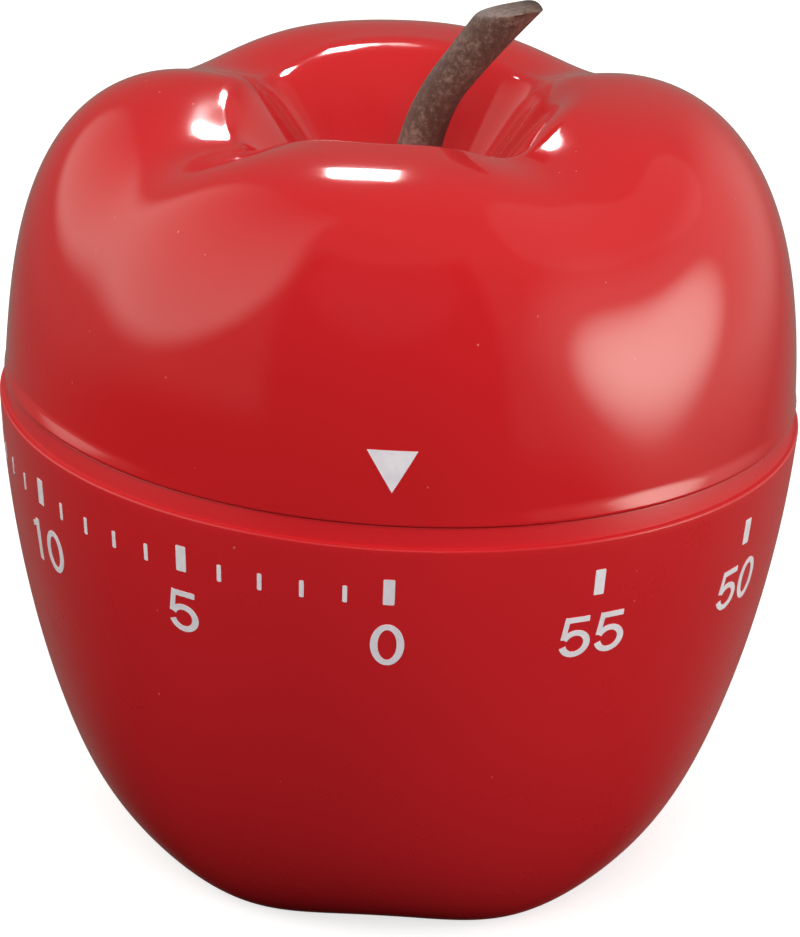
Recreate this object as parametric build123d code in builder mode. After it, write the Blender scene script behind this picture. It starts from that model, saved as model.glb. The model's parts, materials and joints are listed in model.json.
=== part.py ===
"""Apple-shaped wind-up kitchen timer.

The lower shell stands on the table and holds the movement. The upper shell turns on the main
arbor: it is the dial. Turning it clockwise winds the mainspring, and the movement brings it back
to zero in at most 59 minutes, where a notched cam frees the bell hammer.

Millimetres, +Z up, origin on the table under the main arbor, zero mark towards -Y.
"""

from build123d import *
import os
from math import asin, atan2, cos, degrees, exp, hypot, pi, radians, sin, sqrt

# ---------------------------------------------------------------- driving dimensions
SEAM_R = 32.0  # widest radius, at the rim of the lower shell
SEAM_Z = 38.6  # height of that rim above the table
WALL = 2.0  # moulded wall
RING_POINTS = 60  # points on each closed section of the shells

# Upper shell: heights are above the seam.
TOP_RIM_R = 0.99 * SEAM_R
TOP_RIM_H = 0.054 * SEAM_R
CREST_R = 0.461 * SEAM_R
CREST_H = 0.839 * SEAM_R
DIMPLE_R = 0.07 * SEAM_R
DIMPLE_H = 0.485 * SEAM_R
SHOULDER_R = 0.743  # exponents under 1 make the shoulder fuller than an ellipse
SHOULDER_H = 0.712
VALLEY_DEPTH = 0.085 * SEAM_R
VALLEY_FADE = 0.875
VALLEYS = [(-128, 20.2, 0.82), (-62, 23.6, 1.21), (38, 18.4, 0.70), (136, 21.6, 0.86)]
LOBES = [(0, -1.0), (-90, -0.7), (90, 0.45), (180, -1.25)]  # direction, crest rise
TOP_LEAN = -0.035  # sideways drift per unit of height, the fruit isn't quite round

# Lower shell: heights are below the seam, as a share of its depth.
FOOT_R = 0.525 * SEAM_R
FOOT_SINK = 0.2  # the feet are cut flat this far above their lowest line
BASE_DEPTH = SEAM_Z + FOOT_SINK
BASE_TAPER = 0.0755
BASE_FALL = 1.95
BASE_ROUND = 1.9
BASE_LEAN = 0.014
FEET = 5
CLEFT_H = 1.15
FLOOR_Z = 4.4
FLOOR_R = 17.0

# Seam: a collar on the lower shell, and a skirt on the upper shell inside it.
COLLAR_R = 31.55
COLLAR_BORE_R = 28.9
COLLAR_H = TOP_RIM_H - 0.12
SKIRT_R = COLLAR_BORE_R - 0.3
SKIRT_WALL = 0.7
SKIRT_DROP = 0.6
FLANGE_R = TOP_RIM_R - WALL + 0.6  # level ring that joins the skirt to the upper shell
FLANGE_THICK = 1.0

# Bottom cover
COVER_R = 13.6
COVER_GAP = 0.2
COVER_Z = 1.0
COVER_THICK = 1.6
COVER_SCREW_CIRCLE_R = 11.4
COVER_SCREW_R = 0.6
COVER_SCREW_HEAD_R = 1.3
COVER_SCREW_Z = 0.2
COVER_OPENING_R = 9.4
SOUND_SLOTS = [-4.8, -2.4, 0, 2.4, 4.8]
SOUND_SLOT_WIDTH = 1.2
SOUND_FIELD_R = 8.0

# Movement frame
PLATE_R = 23.5
PLATE_THICK = 1.0
LOW_PLATE_Z = 15.0
TOP_PLATE_Z = 30.0
PILLAR_CIRCLE_R = 20.5
PILLAR_ANGLES = [45, 188, 300]
PILLAR_R = 2.0
SCREW_R = 0.9
SCREW_GAP = 0.05
SCREW_HEAD_R = 1.7
SCREW_HEAD_H = 1.2
SCREW_END_Z = 10.5
BOSS_R = 2.3
BOSS_Z = 9.0
BOSS_WEB = 1.6

# Fits and pivots
RUN_GAP = 0.05
PUSH_GAP = 0.02
END_SHAKE = 0.15
PIVOT_R = 0.35
FINE_PIVOT_R = 0.25
BARREL_PIVOT_R = 0.8

# Main arbor and what it carries
MAIN_R = 1.5
MAIN_FLAT = 1.0
MAIN_TOP_Z = 49.0
MAIN_LOW_Z = 14.6
SOCKET_Z = 40.0
HUB_R = 5.0
TRAVEL = 354  # degrees from zero to the far stop
STOP_PIN_CIRCLE_R = 12.8
STOP_PIN_R = 0.4
STOP_PIN_ANGLE = 90
CAM_R = 9.0
CAM_Z = 33.0
CAM_THICK = 0.8
NOTCH_DEPTH = 2.0
STOP_R = 6.0
STOP_Z = 35.0
SPRING_POST_R = 0.6
MAINSPRING_Z = 17.0
MAINSPRING_H = 3.5

# Ratchet
RATCHET_TEETH = 24
RATCHET_Z = 28.4
RATCHET_THICK = 0.7
CLICK_THICK = 0.6
CLICK_POST = (7.2, 3.0)
CLICK_POST_R = 0.5

# Time train: teeth and modules, from the main wheel to the escape wheel
MAIN_TEETH = 72
MAIN_MODULE = 0.35
SECOND_TEETH = 64
SECOND_MODULE = 0.3
THIRD_TEETH = 56
THIRD_MODULE = 0.25
PINION_TEETH = 8
LAST_PINION_TEETH = 7
ESCAPE_TEETH = 15
WHEEL_THICK = 0.5
MAIN_WHEEL_Z = 27.0
MAIN_WHEEL_THICK = 0.8
SECOND_PINION_Z = 26.4
SECOND_WHEEL_Z = 24.0
THIRD_PINION_Z = 23.4
THIRD_WHEEL_Z = 21.0
ESCAPE_PINION_Z = 20.5
ESCAPE_WHEEL_Z = 18.4
SECOND_ARBOR_R = 0.6
THIRD_ARBOR_R = 0.5
FINE_ARBOR_R = 0.3

# Alarm train
BARREL_TEETH = 40
BARREL_MODULE = 0.3
BARREL_R = 5.2
BARREL_BORE_R = 4.7
BARREL_Z = 17.0
BARREL_WHEEL_Z = 22.0
BARREL_ARBOR_R = 1.0
STAR_TEETH = 12
STAR_ARBOR_R = 0.5
STRIKE_PINION_Z = 21.6

# Escapement: two pins on the pallet lever stand just outside the escape wheel's points
ESCAPE_TIP_R = 3.2
PALLET_SPREAD = 36  # each pin stands this far, in degrees, from the lever line
PALLET_PIN_R = 0.2
PIN_AIR = 0.08
LEVER_Z = 19.4
FORK_LENGTH = 4.6
BALANCE_R = 5.8
BALANCE_BORE_R = 4.9
BALANCE_Z = 23.5
BALANCE_THICK = 0.8
STAFF_R = 0.4
ROLLER_Z = 20.3
HAIRSPRING_Z = 25.4

# Strike: the same arrangement with a star wheel and the hammer
STAR_TIP_R = 3.8
STAR_PIN_R = 0.3
STAR_PIN_SPREAD = 45
STAR_Z = 24.8
VERGE_THICK = 0.6
HAMMER_ARM_Z = 12.8
HAMMER_ARM_THICK = 1.0
HAMMER_HEAD_Z = 8.0
HAMMER_LOW_R = 0.5

# Wheel tooth and pinion leaf proportions, in modules
WHEEL_TOOTH = 1.35
WHEEL_ROOT = 0.95
LEAF = 1.05
LEAF_ROOT = 1.75

# Stem: centre line (sideways, height above the seam) and radius at each station
STEM = [
    (-0.5, 15.2, 1.95),
    (0.0, 18.5, 1.85),
    (0.8, 22.5, 1.7),
    (2.05, 25.6, 1.6),
    (4.1, 28.7, 1.7),
    (7.6, 33.9, 2.05),
]
STEM_CUT = (6.8, 32.6)  # a point of the slanting cut across its top
STEM_CUT_SLOPE = 10.6
STEM_PEG_R = 1.5
STEM_PEG_LENGTH = 3.2


# ---------------------------------------------------------------- places of the arbors
def polar(radius, angle, centre=(0, 0)):
    """Point at a radius and an angle in degrees, counted from +X."""
    return (
        centre[0] + radius * cos(radians(angle)),
        centre[1] + radius * sin(radians(angle)),
    )


def swing(radius_a, radius_b, gap):
    """Angle at the main arbor between two arbors on those circles that stand gap apart."""
    cosine = (radius_a**2 + radius_b**2 - gap**2) / (2 * radius_a * radius_b)
    return degrees(pi / 2 - asin(cosine))


def direction(start, end):
    """Angle in degrees of the line from start to end."""
    return degrees(atan2(end[1] - start[1], end[0] - start[0]))


MAIN = (0, 0)
SECOND_CIRCLE_R = MAIN_MODULE * (MAIN_TEETH + PINION_TEETH) / 2
THIRD_CIRCLE_R = 14.3
ESCAPE_CIRCLE_R = 14.2
SECOND_ANGLE = 100
THIRD_GAP = SECOND_MODULE * (SECOND_TEETH + PINION_TEETH) / 2
ESCAPE_GAP = THIRD_MODULE * (THIRD_TEETH + LAST_PINION_TEETH) / 2
THIRD_ANGLE = SECOND_ANGLE + swing(SECOND_CIRCLE_R, THIRD_CIRCLE_R, THIRD_GAP)
ESCAPE_ANGLE = THIRD_ANGLE + swing(THIRD_CIRCLE_R, ESCAPE_CIRCLE_R, ESCAPE_GAP)
SECOND = polar(SECOND_CIRCLE_R, SECOND_ANGLE)
THIRD = polar(THIRD_CIRCLE_R, THIRD_ANGLE)
ESCAPE = polar(ESCAPE_CIRCLE_R, ESCAPE_ANGLE)
LEVER_LINE = -80  # direction from the escape arbor through the pallet arbor to the balance
PALLET_GAP = 5.2
BALANCE_GAP = 6.65
PALLET = polar(PALLET_GAP, LEVER_LINE, ESCAPE)
BALANCE = polar(BALANCE_GAP, LEVER_LINE, PALLET)

BARREL = polar(16.0, -15)
STAR_DIRECTION = 80
STAR = polar(BARREL_MODULE * (BARREL_TEETH + PINION_TEETH) / 2, STAR_DIRECTION, BARREL)
HAMMER_DIRECTION = 125
HAMMER_GAP = 6.0
HAMMER = polar(HAMMER_GAP, HAMMER_DIRECTION, STAR)
BELL = (0, -4.0)
BELL_R = 11.0
BELL_RIM_Z = 7.0
BELL_CROWN_Z = 13.0
BELL_WALL = 0.8
BELL_BOLT_R = 1.0
BELL_NUT_Z = 10.6
HAMMER_HEAD_R = 1.5
HAMMER_AIR = 0.95
LEVER_POST = polar(17.0, -80)
LEVER_NOSE_ANGLE = -45
LEVER_PIN_R = 0.6
LEVER_WIDTH = 1.4
LEVER_WIRE = 0.25


# ---------------------------------------------------------------- shell formulas
def turn(angle):
    """The same angle between -180 and 180 degrees."""
    return (angle + 180) % 360 - 180


def valley(angle):
    """How much of the valley depth is reached in that direction, counted from the front."""
    return sum(share * exp(-((turn(angle - mid) / width) ** 2)) for mid, width, share in VALLEYS)


def lobe(angle):
    """Rise of the crest in that direction."""
    return sum(rise * (0.5 + 0.5 * cos(radians(angle - mid))) ** 2 for mid, rise in LOBES)


def shoulder(sweep):
    """Radius, height, outward normal, valley share and lobe share, from rim to crest."""
    radius = CREST_R + (TOP_RIM_R - CREST_R) * cos(radians(sweep)) ** SHOULDER_R
    height = CREST_H * sin(radians(sweep)) ** SHOULDER_H
    share = (height / CREST_H) ** VALLEY_FADE
    return radius, height, (cos(radians(sweep)), sin(radians(sweep))), share, share


def dimple(share):
    """The same five values from the crest, at 0, to the floor of the dimple, at 1."""
    radius = CREST_R + (DIMPLE_R - CREST_R) * share
    height = DIMPLE_H + (CREST_H - DIMPLE_H) * (cos(pi * share) + 1) / 2
    side = -0.6 * sin(pi * share)
    return radius, height, (side, sqrt(1 - side * side)), 1 - share * share, 1 - share


def top_section(station, inset):
    """Closed section of the upper shell, moved inwards by inset."""
    radius, height, normal, dent, lift = station
    points = []
    for step in range(RING_POINTS):
        angle = 360 * step / RING_POINTS
        depth = VALLEY_DEPTH * dent * valley(angle) + inset
        out = radius - normal[0] * depth
        up = height - normal[1] * depth + lift * lobe(angle)
        across = out * sin(radians(angle)) + TOP_LEAN * up
        points.append((across, -out * cos(radians(angle)), SEAM_Z + up))
    return closed_wire(points)


def closed_wire(points):
    """Smooth closed curve through the points, evenly numbered so that sections match."""
    marks = [step / len(points) for step in range(len(points) + 1)]
    return Wire([Edge.make_spline([Vector(*point) for point in points], periodic=True, parameters=marks)])


def circle_wire(radius, height, across=0.0):
    """Level circle that starts at the front, like the closed curves."""
    return Wire([Edge.make_circle(radius, Plane((across, 0, height)).rotated((0, 0, -90)))])


def top_solid(inset, rim_height):
    """Solid under the upper surface moved inwards by inset, down to a level rim."""
    sections = [circle_wire(TOP_RIM_R - inset, SEAM_Z + rim_height)]
    sections += [top_section(shoulder(sweep), inset) for sweep in range(10, 100, 10)]
    sections += [top_section(dimple(share / 20), inset) for share in (2, 5, 8, 11, 14, 17)]
    floor_height = DIMPLE_H - inset
    floor_radius = DIMPLE_R + 0.6 * inset
    sections.append(circle_wire(floor_radius, SEAM_Z + floor_height, TOP_LEAN * floor_height))
    return Solid.make_loft(sections)


def base_radius(share):
    """Outer radius of the lower shell at a share of its depth."""
    wall_line = SEAM_R * (1 - BASE_TAPER * share)
    return FOOT_R + (wall_line - FOOT_R) * (1 - share**BASE_FALL) ** (1 / BASE_ROUND)


def foot_section(radius, drop, share):
    """Closed section near the foot, lifted in the clefts by a share of their height."""
    points = []
    for step in range(RING_POINTS):
        angle = 360 * step / RING_POINTS
        lift = CLEFT_H * share * (1 + cos(radians(FEET * angle))) / 2
        across = radius * sin(radians(angle)) + BASE_LEAN * drop
        points.append((across, -radius * cos(radians(angle)), SEAM_Z - drop + lift))
    return closed_wire(points)


def base_solid():
    """Outer form of the lower shell, from the seam down over the feet."""
    sections = [circle_wire(SEAM_R, SEAM_Z)]
    for share in (0.12, 0.25, 0.38, 0.5, 0.62, 0.73, 0.82, 0.89, 0.94, 0.975, 0.993, 1):
        fade = max(0, (share - 0.7) / 0.3) ** 2
        sections.append(foot_section(base_radius(share), BASE_DEPTH * share, fade))
    for share in (0.35, 0.7):
        inner = FOOT_R - 0.1 * SEAM_R * share
        sections.append(foot_section(inner, BASE_DEPTH - 2.4 * share**2, 1 - share))
    sections.append(circle_wire(FOOT_R - 0.1 * SEAM_R, 2.2, BASE_LEAN * BASE_DEPTH))
    return Solid.make_loft(sections)


def base_void():
    """Space inside the lower shell."""
    sections = [circle_wire(SEAM_R - WALL, SEAM_Z + 5)]
    for share in (0, 0.15, 0.3, 0.45, 0.6, 0.7, 0.8):
        drop = BASE_DEPTH * share
        sections.append(circle_wire(base_radius(share) - WALL, SEAM_Z - drop, BASE_LEAN * drop))
    sections.append(circle_wire(FLOOR_R + 2.6, FLOOR_Z + 0.9, BASE_LEAN * (SEAM_Z - FLOOR_Z)))
    sections.append(circle_wire(FLOOR_R, FLOOR_Z, BASE_LEAN * (SEAM_Z - FLOOR_Z)))
    return Solid.make_loft(sections)


# ---------------------------------------------------------------- small shared shapes
def save(piece, label):
    """Name a finished piece and write it."""
    piece.part.label = label
    export_step(piece.part, f"parts/{label}.step")


def disc(radius, bottom, top, centre=(0, 0), mode=Mode.ADD):
    """Upright cylinder in the current part."""
    with BuildSketch(Plane.XY.offset(bottom)) as profile:
        with Locations(centre):
            Circle(radius)
    extrude(profile.sketch, amount=top - bottom, mode=mode)


def drill(radius, centres, bottom, top):
    """Upright round holes in the current part."""
    with BuildSketch(Plane.XY.offset(bottom)) as profile:
        with Locations(*centres):
            Circle(radius)
    extrude(profile.sketch, amount=top - bottom, mode=Mode.SUBTRACT)


def bar(width, start, end, bottom, top, mode=Mode.ADD):
    """Flat bar with square ends between two points."""
    length = hypot(end[0] - start[0], end[1] - start[1])
    middle = ((start[0] + end[0]) / 2, (start[1] + end[1]) / 2)
    with BuildSketch(Plane.XY.offset(bottom)) as profile:
        with Locations(Location((*middle, 0), (0, 0, direction(start, end)))):
            Rectangle(length, width)
    extrude(profile.sketch, amount=top - bottom, mode=mode)


def arbor(label, centre, radius, pivot, low=LOW_PLATE_Z, high=TOP_PLATE_Z + PLATE_THICK):
    """Turned arbor that runs between the plates on its two pivots."""
    with BuildPart() as rod:
        disc(pivot, low, high, centre)
        disc(radius, LOW_PLATE_Z + PLATE_THICK + END_SHAKE, TOP_PLATE_Z - END_SHAKE, centre)
    save(rod, label)


def spiral_points(centre, start_r, end_r, turns, offset):
    """Points of a flat spiral, twelve in each turn, moved outwards by offset."""
    count = round(12 * turns)
    return [
        polar(start_r + (end_r - start_r) * step / count + offset, 30 * step, centre)
        for step in range(count + 1)
    ]


def spiral_strip(label, centre, start_r, end_r, turns, strip, bottom, height):
    """Coiled flat spring standing on edge."""
    outside = spiral_points(centre, start_r, end_r, turns, strip / 2)
    inside = spiral_points(centre, start_r, end_r, turns, -strip / 2)
    with BuildPart() as spring:
        with BuildSketch(Plane.XY.offset(bottom)):
            with BuildLine():
                Spline(*outside)
                Spline(*inside)
                Line(outside[0], inside[0])
                Line(outside[-1], inside[-1])
            make_face()
        extrude(amount=height)
    save(spring, label)


# ---------------------------------------------------------------- toothed outlines
def epicycloid(pitch, roller, roll):
    """Radius and polar angle reached when a roller has turned round the pitch circle."""
    far = pitch + roller
    x = far * cos(roll) - roller * cos(far / roller * roll)
    y = far * sin(roll) - roller * sin(far / roller * roll)
    return hypot(x, y), degrees(atan2(y, x))


def tip_roll(pitch, roller, half_angle):
    """Roll at which the two flanks of a tooth meet in its point."""
    low, high = 0.0, pi * roller / pitch
    for _ in range(40):
        middle = (low + high) / 2
        if epicycloid(pitch, roller, middle)[1] < half_angle:
            low = middle
        else:
            high = middle
    return low


def wheel_outline(teeth, module, mate_teeth, phase):
    """Clock wheel outline: radial flanks, pointed cycloidal tips, one tooth at phase."""
    pitch = module * teeth / 2
    roller = module * mate_teeth / 4
    root = pitch - WHEEL_ROOT * module
    half = degrees(WHEEL_TOOTH * module / 2 / pitch)
    roll = tip_roll(pitch, roller, half)
    tip_r = epicycloid(pitch, roller, roll)[0]
    mid_r, mid_turn = epicycloid(pitch, roller, roll * 0.6)
    step = 360 / teeth
    for tooth in range(teeth):
        angle = phase + tooth * step
        Line(polar(root, angle - half), polar(pitch, angle - half))
        flank = polar(mid_r, angle - half + mid_turn)
        ThreePointArc(polar(pitch, angle - half), flank, polar(tip_r, angle))
        flank = polar(mid_r, angle + half - mid_turn)
        ThreePointArc(polar(tip_r, angle), flank, polar(pitch, angle + half))
        Line(polar(pitch, angle + half), polar(root, angle + half))
        Line(polar(root, angle + half), polar(root, angle + step - half))


def pinion_outline(teeth, module, phase):
    """Pinion outline: radial leaves with round tips, one leaf at phase."""
    pitch = module * teeth / 2
    root = pitch - LEAF_ROOT * module
    half = degrees(LEAF * module / 2 / pitch)
    tip_r = pitch + LEAF * module / 2
    step = 360 / teeth
    for leaf in range(teeth):
        angle = phase + leaf * step
        Line(polar(root, angle - half), polar(pitch, angle - half))
        ThreePointArc(polar(pitch, angle - half), polar(tip_r, angle), polar(pitch, angle + half))
        Line(polar(pitch, angle + half), polar(root, angle + half))
        Line(polar(root, angle + half), polar(root, angle + step - half))


def pointed_outline(teeth, root, tip, phase, lean=0.0):
    """Outline of straight-sided points, each tip lean degrees ahead of its middle."""
    step = 360 / teeth
    for tooth in range(teeth):
        angle = phase + tooth * step
        blunt = degrees(0.06 / tip)
        Line(polar(root, angle - 0.32 * step), polar(tip, angle + lean - blunt))
        Line(polar(tip, angle + lean - blunt), polar(tip, angle + lean + blunt))
        Line(polar(tip, angle + lean + blunt), polar(root, angle + 0.32 * step))
        Line(polar(root, angle + 0.32 * step), polar(root, angle + 0.68 * step))


def windows(rim, hub, arms, width):
    """Sketch of the openings between the arms of a wheel."""
    Circle(rim)
    Circle(hub, mode=Mode.SUBTRACT)
    with PolarLocations(0, arms // 2, angular_range=180):
        Rectangle(2 * rim + 1, width, mode=Mode.SUBTRACT)


def gear(label, outline, values, centre, bottom, thick, bore, crossing=None):
    """Toothed plate with a bore and, if wanted, openings between its arms."""
    plane = Plane((*centre, bottom))
    with BuildPart() as plate:
        with BuildSketch(plane):
            with BuildLine():
                outline(*values)
            make_face()
            Circle(bore, mode=Mode.SUBTRACT)
        extrude(amount=thick)
        if crossing:
            with BuildSketch(plane):
                windows(*crossing)
            extrude(amount=thick, mode=Mode.SUBTRACT)
    save(plate, label)


# ---------------------------------------------------------------- shells and stem
def make_top_shell():
    outer = top_solid(0, TOP_RIM_H)
    inner = top_solid(WALL, TOP_RIM_H - 0.4)
    floor_z = SEAM_Z + DIMPLE_H
    rim_z = SEAM_Z + TOP_RIM_H
    with BuildPart() as shell:
        add(outer)
        add(inner, mode=Mode.SUBTRACT)
        disc(SKIRT_R, SEAM_Z - SKIRT_DROP, rim_z + FLANGE_THICK)
        disc(FLANGE_R, rim_z, rim_z + FLANGE_THICK)
        disc(SKIRT_R - SKIRT_WALL, SEAM_Z - SKIRT_DROP - 1, rim_z + 2, mode=Mode.SUBTRACT)
        disc(HUB_R, SOCKET_Z, floor_z - WALL + 0.8)
        with BuildSketch(Plane.XY.offset(SOCKET_Z)):
            Circle(MAIN_R + PUSH_GAP)
            with Locations((MAIN_FLAT + MAIN_R, 0)):
                Rectangle(2 * MAIN_R, 4 * MAIN_R, mode=Mode.SUBTRACT)
        extrude(amount=MAIN_TOP_Z - SOCKET_Z + 0.05, mode=Mode.SUBTRACT)
        drill(STEM_PEG_R + 0.05, [(STEM[0][0], 0)], floor_z - STEM_PEG_LENGTH - 0.3, floor_z + 2)
    save(shell, "top_shell")


def make_stem():
    points = [Vector(across, 0, SEAM_Z + height) for across, height, _ in STEM]
    with BuildLine() as line:
        Spline(*points)
    path = line.wire()
    with BuildPart() as stem:
        for across, height, radius in STEM:
            share = path.param_at_point(Vector(across, 0, SEAM_Z + height))
            with BuildSketch(path ^ share):
                Circle(radius)
        loft()
        slant = Plane((STEM_CUT[0], 0, SEAM_Z + STEM_CUT[1])).rotated((0, -STEM_CUT_SLOPE, 0))
        split(bisect_by=slant, keep=Keep.BOTTOM)
        floor_z = SEAM_Z + DIMPLE_H
        split(bisect_by=Plane.XY.offset(floor_z + PUSH_GAP), keep=Keep.TOP)
        disc(STEM_PEG_R, floor_z - STEM_PEG_LENGTH, floor_z + 1, (STEM[0][0], 0))
    save(stem, "stem")


def make_base_shell():
    outer = base_solid()
    void = base_void()
    opening = (BASE_LEAN * BASE_DEPTH, 0)
    with BuildPart() as shell:
        add(outer)
        disc(COLLAR_R, SEAM_Z - 3, SEAM_Z + COLLAR_H)
        add(void, mode=Mode.SUBTRACT)
        disc(SEAM_R - WALL + 0.5, SEAM_Z - 3, SEAM_Z + COLLAR_H)
        disc(COLLAR_BORE_R, SEAM_Z - 4, SEAM_Z + COLLAR_H + 1, mode=Mode.SUBTRACT)
        for angle in PILLAR_ANGLES:
            place = polar(PILLAR_CIRCLE_R, angle)
            disc(BOSS_R, BOSS_Z, LOW_PLATE_Z, place)
            drop = SEAM_Z - BOSS_Z
            reach = base_radius(drop / BASE_DEPTH) - 0.7 * WALL
            reach += BASE_LEAN * drop * cos(radians(angle))
            bar(BOSS_WEB, place, polar(reach, angle), BOSS_Z, LOW_PLATE_Z - 0.5)
        pilots = [polar(PILLAR_CIRCLE_R, angle) for angle in PILLAR_ANGLES]
        drill(SCREW_R + SCREW_GAP, pilots, SCREW_END_Z - 0.3, LOW_PLATE_Z)
        drill(COVER_R + COVER_GAP, [opening], -1, COVER_Z + COVER_THICK)
        drill(COVER_OPENING_R, [opening], 0, FLOOR_Z + 1)
        drill(COVER_SCREW_R + SCREW_GAP, cover_screw_places(), 1, FLOOR_Z + 1)
        split(bisect_by=Plane.XY, keep=Keep.TOP)
    save(shell, "base_shell")


def cover_screw_places():
    """The three cover screws, round the middle of the foot ring."""
    middle = (BASE_LEAN * BASE_DEPTH, 0)
    return [polar(COVER_SCREW_CIRCLE_R, 90 + 120 * number, middle) for number in range(3)]


def make_bottom_cover():
    middle = (BASE_LEAN * BASE_DEPTH, 0)
    with BuildPart() as cover:
        disc(COVER_R, COVER_Z, COVER_Z + COVER_THICK, middle)
        drill(COVER_SCREW_R + SCREW_GAP, cover_screw_places(), 0, FLOOR_Z)
        with BuildSketch(Plane.XY.offset(COVER_Z)):
            with Locations(middle):
                for offset in SOUND_SLOTS:
                    with Locations((0, offset)):
                        SlotOverall(2 * sqrt(SOUND_FIELD_R**2 - offset**2), SOUND_SLOT_WIDTH)
        extrude(amount=COVER_THICK, mode=Mode.SUBTRACT)
    save(cover, "bottom_cover")


def make_cover_screws():
    with BuildPart() as screws:
        for place in cover_screw_places():
            disc(COVER_SCREW_HEAD_R, COVER_SCREW_Z, COVER_Z, place)
            disc(COVER_SCREW_R, COVER_Z, FLOOR_Z + 0.4, place)
        with BuildSketch(Plane.XY.offset(COVER_SCREW_Z)):
            with Locations(*cover_screw_places()):
                Rectangle(2 * COVER_SCREW_HEAD_R + 0.4, 0.4)
        extrude(amount=0.4, mode=Mode.SUBTRACT)
    save(screws, "cover_screws")


# ---------------------------------------------------------------- movement frame
def pivot_holes():
    """Arbor places with the hole radius that each plate gives them."""
    return [
        (SECOND, PIVOT_R + RUN_GAP),
        (THIRD, PIVOT_R + RUN_GAP),
        (ESCAPE, FINE_PIVOT_R + RUN_GAP),
        (PALLET, FINE_PIVOT_R + RUN_GAP),
        (BALANCE, FINE_PIVOT_R + RUN_GAP),
        (STAR, PIVOT_R + RUN_GAP),
        (BARREL, BARREL_PIVOT_R),
    ]


def make_plate(label, bottom, hammer_hole):
    top = bottom + PLATE_THICK
    with BuildPart() as plate:
        disc(PLATE_R, bottom, top)
        drill(MAIN_R + RUN_GAP, [MAIN], bottom, top)
        screw_holes = [polar(PILLAR_CIRCLE_R, angle) for angle in PILLAR_ANGLES]
        drill(SCREW_R + SCREW_GAP, screw_holes, bottom, top)
        for place, radius in pivot_holes():
            drill(radius, [place], bottom, top)
        drill(hammer_hole, [HAMMER], bottom, top)
    save(plate, label)


def make_pillars():
    places = [polar(PILLAR_CIRCLE_R, angle) for angle in PILLAR_ANGLES]
    with BuildPart() as pillars:
        for place in places:
            disc(PILLAR_R, LOW_PLATE_Z + PLATE_THICK, TOP_PLATE_Z, place)
        drill(SCREW_R + SCREW_GAP, places, LOW_PLATE_Z, TOP_PLATE_Z + 1)
    save(pillars, "pillars")


def make_movement_screws():
    head_z = TOP_PLATE_Z + PLATE_THICK
    places = [polar(PILLAR_CIRCLE_R, angle) for angle in PILLAR_ANGLES]
    with BuildPart() as screws:
        for place in places:
            disc(SCREW_R, SCREW_END_Z, head_z, place)
            disc(SCREW_HEAD_R, head_z, head_z + SCREW_HEAD_H, place)
        with BuildSketch(Plane.XY.offset(head_z + SCREW_HEAD_H - 0.5)):
            with Locations(*places):
                Rectangle(2 * SCREW_HEAD_R + 0.6, 0.5)
        extrude(amount=SCREW_HEAD_H, mode=Mode.SUBTRACT)
    save(screws, "movement_screws")


# ---------------------------------------------------------------- main arbor and its parts
def make_main_arbor():
    with BuildPart() as rod:
        disc(MAIN_R, MAIN_LOW_Z, MAIN_TOP_Z)
        with BuildSketch(Plane.XY.offset(SOCKET_Z - 0.2)):
            with Locations((MAIN_FLAT + MAIN_R, 0)):
                Rectangle(2 * MAIN_R, 4 * MAIN_R)
        extrude(amount=MAIN_TOP_Z, mode=Mode.SUBTRACT)
    save(rod, "main_arbor")


def make_ratchet():
    """Saw-toothed wheel and click that let the arbor be wound without the train."""
    values = (RATCHET_TEETH, 3.4, 4.0, 0, 5)
    bore = MAIN_R + PUSH_GAP
    gear("ratchet_wheel", pointed_outline, values, MAIN, RATCHET_Z, RATCHET_THICK, bore)
    with BuildPart() as click:
        bar(0.9, polar(5.1, 98), CLICK_POST, RATCHET_Z, RATCHET_Z + CLICK_THICK)
        disc(1.1, RATCHET_Z, RATCHET_Z + CLICK_THICK, CLICK_POST)
        drill(CLICK_POST_R, [CLICK_POST], RATCHET_Z - 1, RATCHET_Z + 1)
    save(click, "click")
    with BuildPart() as pin:
        disc(CLICK_POST_R, MAIN_WHEEL_Z + MAIN_WHEEL_THICK, RATCHET_Z + CLICK_THICK + 0.3, CLICK_POST)
    save(pin, "click_post")


def make_alarm_cam():
    """Disc with one notch; the notch meets the release lever at zero."""
    with BuildPart() as cam:
        disc(CAM_R, CAM_Z, CAM_Z + CAM_THICK)
        disc(2 * MAIN_R, CAM_Z + CAM_THICK, CAM_Z + 2 * CAM_THICK)
        with BuildSketch(Plane.XY.offset(CAM_Z)):
            with BuildLine():
                corners = [
                    polar(CAM_R + 1, LEVER_NOSE_ANGLE - 20),
                    polar(CAM_R + 1, LEVER_NOSE_ANGLE + 16),
                    polar(CAM_R - NOTCH_DEPTH, LEVER_NOSE_ANGLE + 13),
                    polar(CAM_R - NOTCH_DEPTH, LEVER_NOSE_ANGLE - 17),
                ]
                Polyline(*corners, close=True)
            make_face()
        extrude(amount=CAM_THICK, mode=Mode.SUBTRACT)
        drill(MAIN_R + PUSH_GAP, [MAIN], CAM_Z, CAM_Z + 2 * CAM_THICK)
    save(cam, "alarm_cam")


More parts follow.
